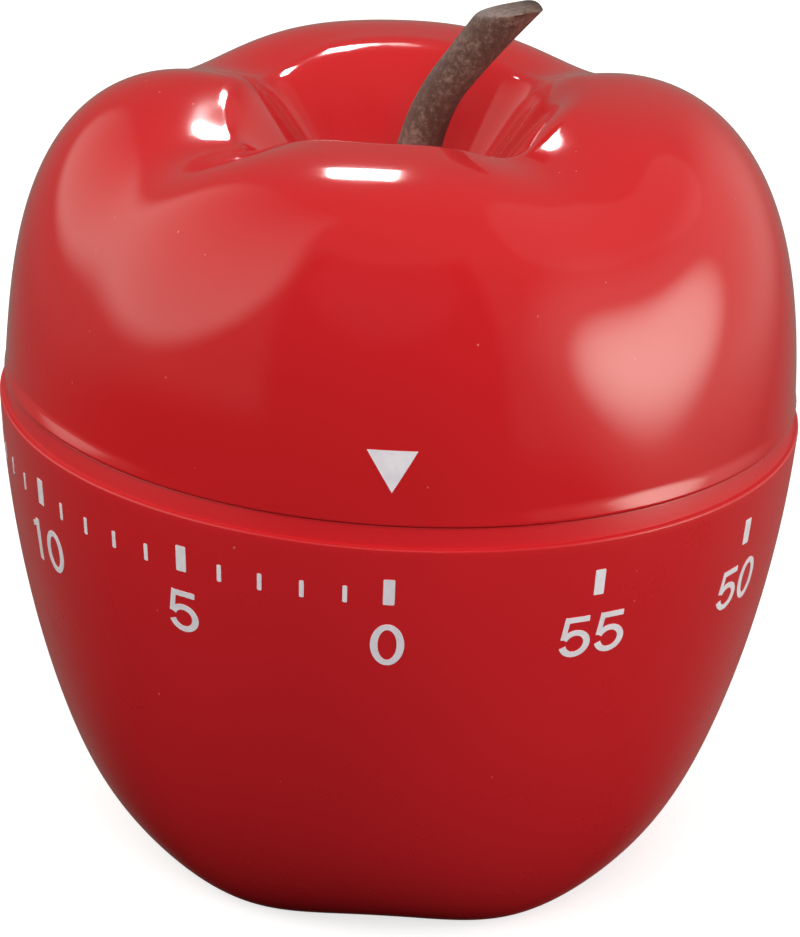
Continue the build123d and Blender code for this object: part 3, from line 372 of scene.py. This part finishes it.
def make_base_shell():
    """Skin down the outside, under the feet, up through the opening and up the inside."""
    rim = (SEAM_R, SEAM_Z)
    rings = []
    for radius, height in rounded(rim, (0, SEAM_Z), (SEAM_R, 0), SEAM_ROUND):
        rings.append(level_ring(radius, height))
    for step in range(1, SIDE_RINGS + 1):
        share = math.sin(0.5 * math.pi * step / SIDE_RINGS)
        fade = max(0, (share - CLEFT_START) / (1 - CLEFT_START)) ** 2
        drop = BASE_DEPTH * share
        ring = level_ring(base_radius(share), SEAM_Z - drop, BASE_LEAN * drop, CLEFT_H * fade)
        rings.append(flat_foot(ring))
    middle = BASE_LEAN * BASE_DEPTH
    rise = BASE_DEPTH - SEAM_Z
    for step in range(1, 13):
        radius = FOOT_R + (RECESS_R - FOOT_R) * step / 12
        share = (FOOT_R - radius) / FOOT_BAND
        ring = level_ring(radius, FOOT_RISE * share**2 - rise, middle, CLEFT_H * (1 - share))
        rings.append(flat_foot(ring))
    rings.append(level_ring(RECESS_R, RECESS_Z, middle))
    rings.append(level_ring(OPENING_R, RECESS_Z, middle))
    rings.append(level_ring(OPENING_R, FLOOR_Z, middle))
    lean = BASE_LEAN * (SEAM_Z - FLOOR_Z)
    rings.append(level_ring(FLOOR_R, FLOOR_Z, lean))
    rings.append(level_ring(FLOOR_R + FLOOR_BEVEL[0], FLOOR_Z + FLOOR_BEVEL[1], lean))
    for share in (0.8, 0.7, 0.6, 0.5, 0.4, 0.3, 0.2, 0.1, 0.04):
        drop = BASE_DEPTH * share
        rings.append(level_ring(base_radius(share) - WALL, SEAM_Z - drop, BASE_LEAN * drop))
    rings.append(level_ring(COLLAR_BORE_R, SEAM_Z - BORE_DROP))
    top = SEAM_Z + COLLAR_H
    bore = (COLLAR_BORE_R, top)
    for radius, height in rounded(bore, (COLLAR_BORE_R, 0), (COLLAR_R, top), BORE_ROUND, 3):
        rings.append(level_ring(radius, height))
    narrow = COLLAR_R - COLLAR_DRAFT
    for radius, height in rounded((narrow, top), (0, top), (narrow, 0), COLLAR_ROUND, 3):
        rings.append(level_ring(radius, height))
    rings += [level_ring(COLLAR_R + out, SEAM_Z + up) for out, up in COLLAR_ROOT]
    groups = [(rings, True)]
    for angle in PILLAR_ANGLES:
        x = PILLAR_CIRCLE_R * math.cos(math.radians(angle))
        y = PILLAR_CIRCLE_R * math.sin(math.radians(angle))
        turn = np.linspace(0, 2 * math.pi, BOSS_COLUMNS, endpoint=False)
        boss = []
        hole_r, hole_z = BOSS_HOLE
        wall = [(BOSS_R, BOSS_Z), (BOSS_R, BOSS_TOP_Z), (hole_r, BOSS_TOP_Z), (hole_r, hole_z)]
        for radius, height in wall:
            level = np.full(BOSS_COLUMNS, height)
            boss.append(np.stack([x + radius * np.cos(turn), y + radius * np.sin(turn), level], 1))
        groups.append((boss, False))
    shell = skin("lower_shell", groups)
    sharpen(shell, 50)
    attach(shell, "base")
    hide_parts("base_shell")
    return shell


# ---------------------------------------------------------------- printed marks
def stroke(points, upright, level):
    """Outline of a pen line through the points, thicker where it runs upright than level."""
    points = [np.array(point, float) for point in points]
    left, right = [], []
    for index, point in enumerate(points):
        before = points[max(index - 1, 0)]
        after = points[min(index + 1, len(points) - 1)]
        way = (after - before) / np.linalg.norm(after - before)
        normal = np.array([-way[1], way[0]])
        half = 0.5 * math.hypot(normal[0] * upright, normal[1] * level)
        left.append(tuple(point + normal * half))
        right.append(tuple(point - normal * half))
    return right + left[::-1]


def arc(centre, radii, start, end, steps=28):
    """Points along part of an ellipse, angles in degrees."""
    turns = np.radians(np.linspace(start, end, steps))
    return [(centre[0] + radii[0] * math.cos(t), centre[1] + radii[1] * math.sin(t)) for t in turns]


def run(start, end, steps=8):
    """Points along a straight line."""
    start, end = np.array(start), np.array(end)
    return [tuple(start + (end - start) * step / steps) for step in range(steps + 1)]


def digit_outlines(digit):
    """Closed outlines of a plain sans-serif digit, one unit tall, centred on the origin."""
    pen = (PEN_UP, PEN_LEVEL)
    edge = 0.5 - PEN_LEVEL / 2
    side = 0.37 - PEN_UP / 2
    if digit == "0":
        turns = np.radians(np.linspace(0, 360, 61))[:-1]
        outer = [(0.37 * math.cos(t), 0.51 * math.sin(t)) for t in turns]
        inner = [(0.205 * math.cos(t), 0.375 * math.sin(t)) for t in turns]
        return [outer], [inner]
    if digit == "1":
        upright = stroke(run((0.07, -0.5), (0.07, 0.5)), *pen)
        flag = stroke(run((-0.17, 0.31), (0.05, 0.42)), 0.13, 0.12)
        return [upright, flag], []
    if digit == "2":
        bowl = arc((0, edge - 0.27), (side, 0.27), 172, -28)
        tail = arc((0.36, -0.52), (0.66, 0.42), 120, 170, 16)
        return [stroke(bowl + tail, *pen), stroke(run((-0.37, -edge), (0.36, -edge)), *pen)], []
    if digit == "3":
        high = arc((-0.01, edge - 0.2), (side - 0.03, 0.205), 165, -90)
        low = arc((-0.01, -edge + 0.235), (side, 0.235), 90, -168)
        middle = run((-0.08, 0.035), (0.02, 0.035))
        return [stroke(high, *pen), stroke(low, *pen), stroke(middle, *pen)], []
    if digit == "4":
        upright = stroke(run((0.13, -0.5), (0.13, 0.5)), *pen)
        slant = stroke(run((0.1, 0.44), (-0.34, -0.2)), 0.13, 0.13)
        cross = stroke(run((-0.4, -0.21), (0.38, -0.21)), *pen)
        return [upright, slant, cross], []
    if digit == "5":
        cap = stroke(run((0.3, edge), (-0.255, edge)), *pen)
        back = stroke(run((-0.225, 0.5), (-0.3, -0.045)), 0.125, 0.1)
        bowl = arc((-0.005, -edge + 0.265), (side + 0.01, 0.27), 155, -165, 40)
        return [cap, back, stroke(bowl, *pen)], []
    raise ValueError(digit)


def flat_print(outlines, holes, spacing):
    """Even triangles that fill the union of the outlines, without the holes."""
    points, loops = [], []
    for outline in outlines + holes:
        start = len(points)
        points += [Vector(point) for point in outline]
        loops.append(list(range(start, len(points))))
    low = [min(point[axis] for point in points) for axis in (0, 1)]
    high = [max(point[axis] for point in points) for axis in (0, 1)]
    for row in range(int((high[1] - low[1]) / spacing) + 1):
        for column in range(int((high[0] - low[0]) / spacing) + 1):
            shift = 0.5 * spacing * (row % 2) + 0.013
            points.append(Vector((low[0] + column * spacing + shift, low[1] + (row + 0.37) * spacing)))
    corners, _, faces, _, _, origins = delaunay_2d_cdt(points, [], loops, 1, 1e-6)
    solid = len(outlines)
    kept = [face for face, source in zip(faces, origins) if source and all(s < solid for s in source)]
    return [(corner[0], corner[1]) for corner in corners], kept


def printed(name, parts, place, body):
    """Thin closed print of parts (outlines, holes, size, shift), laid on by place(u, v, proud)."""
    work = bmesh.new()
    for outlines, holes, size, shift in parts:
        corners, faces = flat_print(outlines, holes, PRINT_SPACING / size)
        spots = [(u * size + shift[0], v * size + shift[1]) for u, v in corners]
        high = [work.verts.new(place(u, v, PRINT_PROUD) * MM) for u, v in spots]
        low = [work.verts.new(place(u, v, -PRINT_SUNK) * MM) for u, v in spots]
        edges = {}
        for face in faces:
            work.faces.new([high[corner] for corner in face])
            work.faces.new([low[corner] for corner in reversed(face)])
            for index, corner in enumerate(face):
                after = face[(index + 1) % len(face)]
                edges[(corner, after)] = edges.get((corner, after), 0) + 1
        for corner, after in edges:
            if (after, corner) not in edges:
                work.faces.new([high[after], high[corner], low[corner], low[after]])
    loose = [vert for vert in work.verts if not vert.link_faces]
    bmesh.ops.delete(work, geom=loose, context="VERTS")
    bmesh.ops.recalc_face_normals(work, faces=work.faces)
    mesh = bpy.data.meshes.new(name)
    work.to_mesh(mesh)
    work.free()
    piece = link(name, mesh)
    mesh.shade_smooth()
    sharpen(piece, 40)
    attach(piece, body)
    return piece


def box_outline(width, height, corner):
    """Closed outline of an upright bar with eased corners."""
    x, y = width / 2 - corner, height / 2 - corner
    points = []
    for sx, sy, start in ((1, 1, 0), (-1, 1, 90), (-1, -1, 180), (1, -1, 270)):
        points += arc((sx * x, sy * y), (corner, corner), start, start + 90, 5)
    return points


def on_base(minute, drop):
    """Place function for a mark at a minute of the scale, drop below the seam."""
    radius = base_radius(drop / BASE_DEPTH)

    def place(u, v, proud):
        angle = -6 * minute + math.degrees(u / radius)
        return base_point(angle, drop - v, proud)

    return place


def make_scale():
    """Ticks and numerals of the sixty-minute scale on the lower shell."""
    pieces = []
    for minute in range(60):
        major = minute % 5 == 0
        if not major and minute > MINOR_MINUTES:
            continue
        width, height = MAJOR_TICK if major else MINOR_TICK
        drop = TICK_DROP + (0 if major else MINOR_DROP)
        outline = box_outline(width, height, TICK_CORNER)
        part = ([outline], [], 1.0, (0, 0))
        pieces.append(printed(f"tick_{minute:02d}", [part], on_base(minute, drop), "base"))
        if major:
            text = str(minute)
            parts = []
            for index, digit in enumerate(text):
                outlines, holes = digit_outlines(digit)
                shift = (index - (len(text) - 1) / 2) * DIGIT_PITCH * NUMERAL_H
                parts.append((outlines, holes, NUMERAL_H, (shift, 0)))
            name = f"numeral_{minute:02d}"
            pieces.append(printed(name, parts, on_base(minute, NUMERAL_DROP), "base"))
    return pieces


def make_pointer():
    """Triangle on the upper shell that points down at the scale."""
    width, height = POINTER_SIZE
    corners = [(-width / 2, height / 2), (0, -height / 2), (width / 2, height / 2)]
    outline = []
    for index, corner in enumerate(corners):
        outline += run(corner, corners[(index + 1) % 3], 12)[:-1]

    def place(u, v, proud):
        return top_point(math.degrees(u / TOP_RIM_R), POINTER_H + v, proud)

    return printed("pointer", [([outline], [], 1.0, (0, 0))], place, "dial")


# ---------------------------------------------------------------- stem
STEM = [  # across, height above the seam, radius
    (-0.5, 15.52, 2.02),
    (-0.2, 17.0, 1.92),
    (0.25, 20.0, 1.8),
    (1.0, 23.2, 1.68),
    (2.2, 26.0, 1.6),
    (3.9, 28.5, 1.66),
    (5.7, 31.0, 1.8),
    (7.8, 33.9, 2.05),
]
STEM_CUT = (6.8, 32.6)
STEM_CUT_SLOPE = math.radians(10.6)
STEM_COLUMNS = 64
STEM_RINGS = 90
STEM_FLATNESS = 0.94
STEM_EASE = 0.3


def smooth(values, marks):
    """Catmull-Rom curve through the values, read at the marks."""
    padded = np.concatenate([[2 * values[0] - values[1]], values, [2 * values[-1] - values[-2]]])
    out = []
    for mark in marks:
        index = min(int(mark), len(values) - 2)
        t = mark - index
        a, b, c, d = padded[index : index + 4]
        square = 2 * a - 5 * b + 4 * c - d
        cube = 3 * b - a - 3 * c + d
        out.append(0.5 * (2 * b + (c - a) * t + square * t**2 + cube * t**3))
    return np.array(out)


def make_stem():
    """Bent tapering stem, cut across its top at a slant, with worn edges and a lumpy surface."""
    knots = np.array(STEM)
    marks = np.linspace(0, len(knots) - 1, STEM_RINGS)
    line = np.stack([smooth(knots[:, column], marks) for column in range(3)], 1)
    turn = np.linspace(0, 2 * math.pi, STEM_COLUMNS, endpoint=False)
    normal = np.array([-math.sin(STEM_CUT_SLOPE), math.cos(STEM_CUT_SLOPE)])
    rings = []
    for index, (across, height, radius) in enumerate(line):
        before, after = line[max(index - 1, 0)], line[min(index + 1, len(line) - 1)]
        way = after[:2] - before[:2]
        way /= np.linalg.norm(way)
        lumps = 1 + 0.02 * np.sin(3 * turn + index * 0.07) + 0.012 * np.sin(5 * turn - index * 0.05)
        x = across + radius * lumps * np.cos(turn) * way[1]
        z = height - radius * lumps * np.cos(turn) * way[0]
        y = STEM_FLATNESS * radius * lumps * np.sin(turn)
        rings.append(np.stack([x, y, z], 1))
    rings = np.array(rings)
    # Points above the slanting cut slide down onto it, eased so that its edge is rounded.
    over = (rings[..., 0] - STEM_CUT[0]) * normal[0] + (rings[..., 2] - STEM_CUT[1]) * normal[1]
    eased = np.where(over > -STEM_EASE, -STEM_EASE * np.exp(-(over + STEM_EASE) / STEM_EASE), over)
    rings[..., 0] += (eased - over) * normal[0]
    rings[..., 2] += (eased - over) * normal[1]
    rings[..., 2] += SEAM_Z
    stem = skin("stem_skin", [(list(rings), False)])
    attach(stem, "dial")
    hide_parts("stem")
    return stem


# ---------------------------------------------------------------- materials
def material(name):
    """New node material with its Principled shader."""
    made = bpy.data.materials.new(name)
    made.use_nodes = True
    tree = made.node_tree
    return made, tree, tree.nodes["Principled BSDF"]


def node(tree, kind, **values):
    """New node with named input values; attributes start with an underscore."""
    made = tree.nodes.new(kind)
    for key, value in values.items():
        if key.startswith("_"):
            setattr(made, key[1:], value)
        else:
            made.inputs[key.replace("_", " ")].default_value = value
    return made


def maths(tree, operation, first, second):
    """Math node over two inputs, each a socket or a number."""
    made = node(tree, "ShaderNodeMath", _operation=operation)
    for index, value in enumerate((first, second)):
        if isinstance(value, (int, float)):
            made.inputs[index].default_value = value
        else:
            tree.links.new(value, made.inputs[index])
    return made.outputs[0]


def slope(tree, value, start, end):
    """0 before start, 1 after end, smooth between them; start may be the larger."""
    made = node(tree, "ShaderNodeMapRange", _interpolation_type="SMOOTHSTEP")
    made.inputs["From Min"].default_value = min(start, end)
    made.inputs["From Max"].default_value = max(start, end)
    made.inputs["To Min"].default_value = 0.0 if start < end else 1.0
    made.inputs["To Max"].default_value = 1.0 if start < end else 0.0
    tree.links.new(value, made.inputs["Value"])
    return made.outputs["Result"]


def noise(tree, scale, detail=3.0, roughness=0.55):
    """Noise in object coordinates."""
    where = node(tree, "ShaderNodeTexCoord")
    made = node(tree, "ShaderNodeTexNoise", Scale=scale, Detail=detail, Roughness=roughness)
    tree.links.new(where.outputs["Object"], made.inputs["Vector"])
    return made


def ramp(tree, source, stops):
    """Colour ramp over a value: stops are (position, colour)."""
    made = tree.nodes.new("ShaderNodeValToRGB")
    made.color_ramp.elements[0].position = stops[0][0]
    made.color_ramp.elements[0].color = stops[0][1]
    made.color_ramp.elements[1].position = stops[-1][0]
    made.color_ramp.elements[1].color = stops[-1][1]
    for position, colour in stops[1:-1]:
        element = made.color_ramp.elements.new(position)
        element.color = colour
    tree.links.new(source, made.inputs["Fac"])
    return made


def grey(value):
    """Opaque grey."""
    return (value, value, value, 1)


def specks(tree, scale, size, rarity):
    """Sparse small dots: 1 in a dot, 0 elsewhere; rarity is the share of cells without one."""
    where = node(tree, "ShaderNodeTexCoord")
    cells = node(tree, "ShaderNodeTexVoronoi", Scale=scale)
    tree.links.new(where.outputs["Object"], cells.inputs["Vector"])
    pick = node(tree, "ShaderNodeSeparateColor")
    tree.links.new(cells.outputs["Color"], pick.inputs["Color"])
    near = maths(tree, "LESS_THAN", cells.outputs["Distance"], size)
    rare = maths(tree, "GREATER_THAN", pick.outputs["Red"], rarity)
    return maths(tree, "MULTIPLY", near, rare)


def moulded_red(name, colour, rough):
    """Red moulded plastic: faint flow variation, fine dust and an uneven sheen."""
    made, tree, shader = material(name)
    flow = noise(tree, 45, 2.0)
    deep = tuple(0.93 * value for value in colour)
    tone = ramp(tree, flow.outputs["Fac"], [(0.3, (*deep, 1)), (0.7, (*colour, 1))])
    mix = node(tree, "ShaderNodeMix", _data_type="RGBA")
    mix.inputs["B"].default_value = (0.85, 0.33, 0.3, 1)
    dust = maths(tree, "MAXIMUM", specks(tree, 800, 0.055, 0.93), specks(tree, 350, 0.035, 0.88))
    tree.links.new(maths(tree, "MULTIPLY", dust, 0.45), mix.inputs["Factor"])
    tree.links.new(tone.outputs["Color"], mix.inputs["A"])
    tree.links.new(mix.outputs["Result"], shader.inputs["Base Color"])
    smear = noise(tree, 160, 4.0)
    sheen = ramp(tree, smear.outputs["Fac"], [(0.35, grey(rough * 0.9)), (0.75, grey(rough * 1.15))])
    tree.links.new(sheen.outputs["Color"], shader.inputs["Roughness"])
    ripple = noise(tree, 60, 1.0)
    bump = node(tree, "ShaderNodeBump", Strength=0.02, Distance=0.0002)
    tree.links.new(ripple.outputs["Fac"], bump.inputs["Height"])
    tree.links.new(bump.outputs["Normal"], shader.inputs["Normal"])
    shader.inputs["IOR"].default_value = 1.5
    return made


def print_ink():
    """White pad-printed ink, faintly lavender and mottled."""
    made, tree, shader = material("print")
    grain = noise(tree, 900, 3.0)
    stops = [(0.3, (0.84, 0.78, 0.85, 1)), (0.7, (0.95, 0.90, 0.95, 1))]
    tone = ramp(tree, grain.outputs["Fac"], stops)
    tree.links.new(tone.outputs["Color"], shader.inputs["Base Color"])
    shader.inputs["Roughness"].default_value = 0.4
    return made


def stem_plastic():
    """Brown plastic with a fine spark-eroded grain, paler where it is worn."""
    made, tree, shader = material("stem_brown")
    broad = noise(tree, 260, 3.0, 0.5)
    fine = noise(tree, 2300, 5.0, 0.75)
    coarse_part = maths(tree, "MULTIPLY", broad.outputs["Fac"], 0.35)
    fine_part = maths(tree, "MULTIPLY", fine.outputs["Fac"], 0.65)
    blend = maths(tree, "ADD", coarse_part, fine_part)
    stops = [
        (0.38, (0.070, 0.032, 0.025, 1)),
        (0.52, (0.105, 0.052, 0.040, 1)),
        (0.66, (0.24, 0.15, 0.12, 1)),
    ]
    tone = ramp(tree, blend, stops)
    tree.links.new(tone.outputs["Color"], shader.inputs["Base Color"])
    bump = node(tree, "ShaderNodeBump", Strength=0.7, Distance=0.00012)
    tree.links.new(fine.outputs["Fac"], bump.inputs["Height"])
    tree.links.new(bump.outputs["Normal"], shader.inputs["Normal"])
    shader.inputs["Roughness"].default_value = 0.6
    return made


def metal(name, colour, rough, scale):
    """Plain worked metal with fine variation in its sheen."""
    made, tree, shader = material(name)
    grain = noise(tree, scale, 4.0)
    deep = tuple(0.8 * value for value in colour)
    tone = ramp(tree, grain.outputs["Fac"], [(0.3, (*deep, 1)), (0.7, (*colour, 1))])
    tree.links.new(tone.outputs["Color"], shader.inputs["Base Color"])
    sheen = ramp(tree, grain.outputs["Fac"], [(0.3, grey(rough * 0.7)), (0.8, grey(rough * 1.4))])
    tree.links.new(sheen.outputs["Color"], shader.inputs["Roughness"])
    bump = node(tree, "ShaderNodeBump", Strength=0.1, Distance=0.00005)
    tree.links.new(grain.outputs["Fac"], bump.inputs["Height"])
    tree.links.new(bump.outputs["Normal"], shader.inputs["Normal"])
    shader.inputs["Metallic"].default_value = 1.0
    return made


def paint(piece, made):
    """One material over the whole piece."""
    piece.data.materials.clear()
    piece.data.materials.append(made)


# ---------------------------------------------------------------- build
gloss = moulded_red("gloss_red", (0.62, 0.017, 0.021), 0.09)
satin = moulded_red("satin_red", (0.66, 0.019, 0.025), 0.30)
ink = print_ink()
by_slot = {
    "gloss_red": gloss,
    "satin_red": satin,
    "brown": stem_plastic(),
    "steel": metal("steel", (0.62, 0.62, 0.63), 0.28, 900),
    "spring_steel": metal("spring_steel", (0.20, 0.22, 0.30), 0.25, 700),
    "bell_steel": metal("bell_steel", (0.78, 0.78, 0.76), 0.12, 500),
    "brass": metal("brass", (0.80, 0.58, 0.26), 0.26, 800),
    "zinc_plate": metal("zinc_plate", (0.60, 0.61, 0.58), 0.36, 600),
}
for entry in frame["record"]["subparts"]:
    paint(frame["nodes"][entry["node"]], by_slot[entry["material_slot"]])

paint(make_top_shell(), gloss)
paint(make_base_shell(), satin)
paint(make_stem(), by_slot["brown"])
for mark in make_scale():
    paint(mark, ink)
paint(make_pointer(), ink)


# ---------------------------------------------------------------- stage
def make_floor():
    """Pale seamless floor."""
    mesh = bpy.data.meshes.new("floor")
    corners = [(x * FLOOR_HALF, y * FLOOR_HALF, 0) for x, y in ((-1, -1), (1, -1), (1, 1), (-1, 1))]
    mesh.from_pydata(corners, [], [(0, 1, 2, 3)])
    floor = link("floor", mesh)
    made, tree, shader = material("floor_white")
    shader.inputs["Base Color"].default_value = (0.55, 0.55, 0.55, 1)
    shader.inputs["Roughness"].default_value = 0.9
    shader.inputs["Specular IOR Level"].default_value = 0.1
    shader.inputs["Emission Color"].default_value = (1.0, 1.0, 1.0, 1)
    shader.inputs["Emission Strength"].default_value = 0.7
    paint(floor, made)
    floor.visible_glossy = False
    floor.visible_diffuse = False
    floor.visible_shadow = False


def fill_light(name, azimuth, elevation, size, power):
    """Soft lamp that brightens the object but doesn't show in its gloss; azimuth 90 is +X."""
    lamp = bpy.data.lights.new(name, "AREA")
    lamp.shape = "DISK"
    lamp.size = size
    lamp.energy = power
    light = bpy.data.objects.new(name, lamp)
    turn, lift = math.radians(azimuth), math.radians(elevation)
    way = Vector((math.sin(turn) * math.cos(lift), -math.cos(turn) * math.cos(lift), math.sin(lift)))
    light.location = Vector((0, 0, SEAM_Z * MM)) + way * FILL_DISTANCE
    light.rotation_euler = way.to_track_quat("Z", "Y").to_euler()
    light.visible_glossy = False
    bpy.context.scene.collection.objects.link(light)


def softbox(tree, azimuth, elevation, centre, half, tilt, edge, strength, loss):
    """Soft-edged rounded panel seen in one direction, with its brightness falling across it."""
    turn = math.radians(tilt)
    side = maths(tree, "SUBTRACT", azimuth, centre[0])
    lift = maths(tree, "SUBTRACT", elevation, centre[1])
    across = maths(
        tree,
        "ADD",
        maths(tree, "MULTIPLY", side, math.cos(turn) / half[0]),
        maths(tree, "MULTIPLY", lift, math.sin(turn) / half[0]),
    )
    along = maths(
        tree,
        "ADD",
        maths(tree, "MULTIPLY", side, -math.sin(turn) / half[1]),
        maths(tree, "MULTIPLY", lift, math.cos(turn) / half[1]),
    )
    reach = maths(tree, "ADD", maths(tree, "POWER", across, 2.0), maths(tree, "POWER", along, 2.0))
    window = slope(tree, reach, 1.0, 1.0 - edge)
    fall = maths(
        tree,
        "ADD",
        maths(tree, "MULTIPLY", across, loss[0]),
        maths(tree, "MULTIPLY", along, loss[1]),
    )
    bright = maths(tree, "MAXIMUM", maths(tree, "ADD", fall, 1.0), 0.0)
    return maths(tree, "MULTIPLY", maths(tree, "MULTIPLY", window, bright), strength)


def make_world():
    """Studio round the object: dark behind the camera, softboxes at the sides, placed by direction."""
    world = bpy.data.worlds.new("studio")
    world.use_nodes = True
    tree = world.node_tree
    where = node(tree, "ShaderNodeTexCoord")
    split = node(tree, "ShaderNodeSeparateXYZ")
    tree.links.new(where.outputs["Generated"], split.inputs["Vector"])
    x, y, z = (split.outputs[axis] for axis in "XYZ")
    front = maths(tree, "MULTIPLY", y, -1.0)
    azimuth = maths(tree, "MULTIPLY", maths(tree, "ARCTAN2", x, front), 180 / math.pi)
    elevation = maths(tree, "MULTIPLY", maths(tree, "ARCSINE", z, 0.0), 180 / math.pi)
    turned = maths(tree, "ABSOLUTE", azimuth, 0.0)
    sides = slope(tree, turned, *AMBIENT_TURN)
    room = maths(tree, "MAXIMUM", sides, slope(tree, elevation, *AMBIENT_LIFT))
    room = maths(tree, "MULTIPLY", room, slope(tree, elevation, *AMBIENT_FOOT))
    glow = slope(tree, turned, *FLOOR_GLOW_TURN)
    glow = maths(tree, "MULTIPLY", glow, slope(tree, elevation, *FLOOR_GLOW_TOP))
    glow = maths(tree, "MULTIPLY", glow, slope(tree, elevation, *FLOOR_GLOW_FOOT))
    total = maths(tree, "MULTIPLY", room, AMBIENT)
    total = maths(tree, "ADD", total, maths(tree, "MULTIPLY", glow, FLOOR_GLOW))
    for values in SOFTBOXES:
        total = maths(tree, "ADD", total, softbox(tree, azimuth, elevation, *values))
    background = tree.nodes["Background"]
    tree.links.new(total, background.inputs["Strength"])
    background.inputs["Color"].default_value = (*LIGHT_TINT, 1)
    bpy.context.scene.world = world


def make_panel():
    """Bright panel that gives the crisp white highlights round the crest, and no other light."""
    lamp = bpy.data.lights.new("panel", "AREA")
    lamp.shape = "RECTANGLE"
    lamp.size, lamp.size_y = (value * MM for value in PANEL_SIZE)
    lamp.energy = PANEL_POWER
    light = bpy.data.objects.new("panel", lamp)
    lamp.spread = PANEL_SPREAD
    light.location = PANEL_PLACE * MM
    light.rotation_euler = (PANEL_PLACE - PANEL_AIM).to_track_quat("Z", "Y").to_euler()
    light.visible_diffuse = False
    light.visible_camera = False
    bpy.context.scene.collection.objects.link(light)


def make_camera():
    """Camera at the measured height, roll and distance."""
    lens = bpy.data.cameras.new("camera")
    lens.sensor_fit = "HORIZONTAL"
    lens.sensor_width = SENSOR
    lens.lens = CAMERA_FOCAL * SENSOR
    camera = bpy.data.objects.new("camera", lens)
    back = Vector((0, -math.cos(CAMERA_ELEVATION), math.sin(CAMERA_ELEVATION)))
    right = Vector((1, 0, 0))
    up = back.cross(right)
    tilt_x = right * math.cos(CAMERA_ROLL) - up * math.sin(CAMERA_ROLL)
    tilt_y = right * math.sin(CAMERA_ROLL) + up * math.cos(CAMERA_ROLL)
    turn = Matrix((tilt_x, tilt_y, back)).transposed().to_4x4()
    place = (CAMERA_TARGET + back * CAMERA_DISTANCE) * MM
    camera.matrix_world = Matrix.Translation(place) @ turn
    bpy.context.scene.collection.objects.link(camera)
    bpy.context.scene.camera = camera


make_floor()
make_world()
make_camera()
make_panel()
for values in FILLS:
    fill_light(*values)
bpy.context.scene.view_settings.view_transform = "Standard"
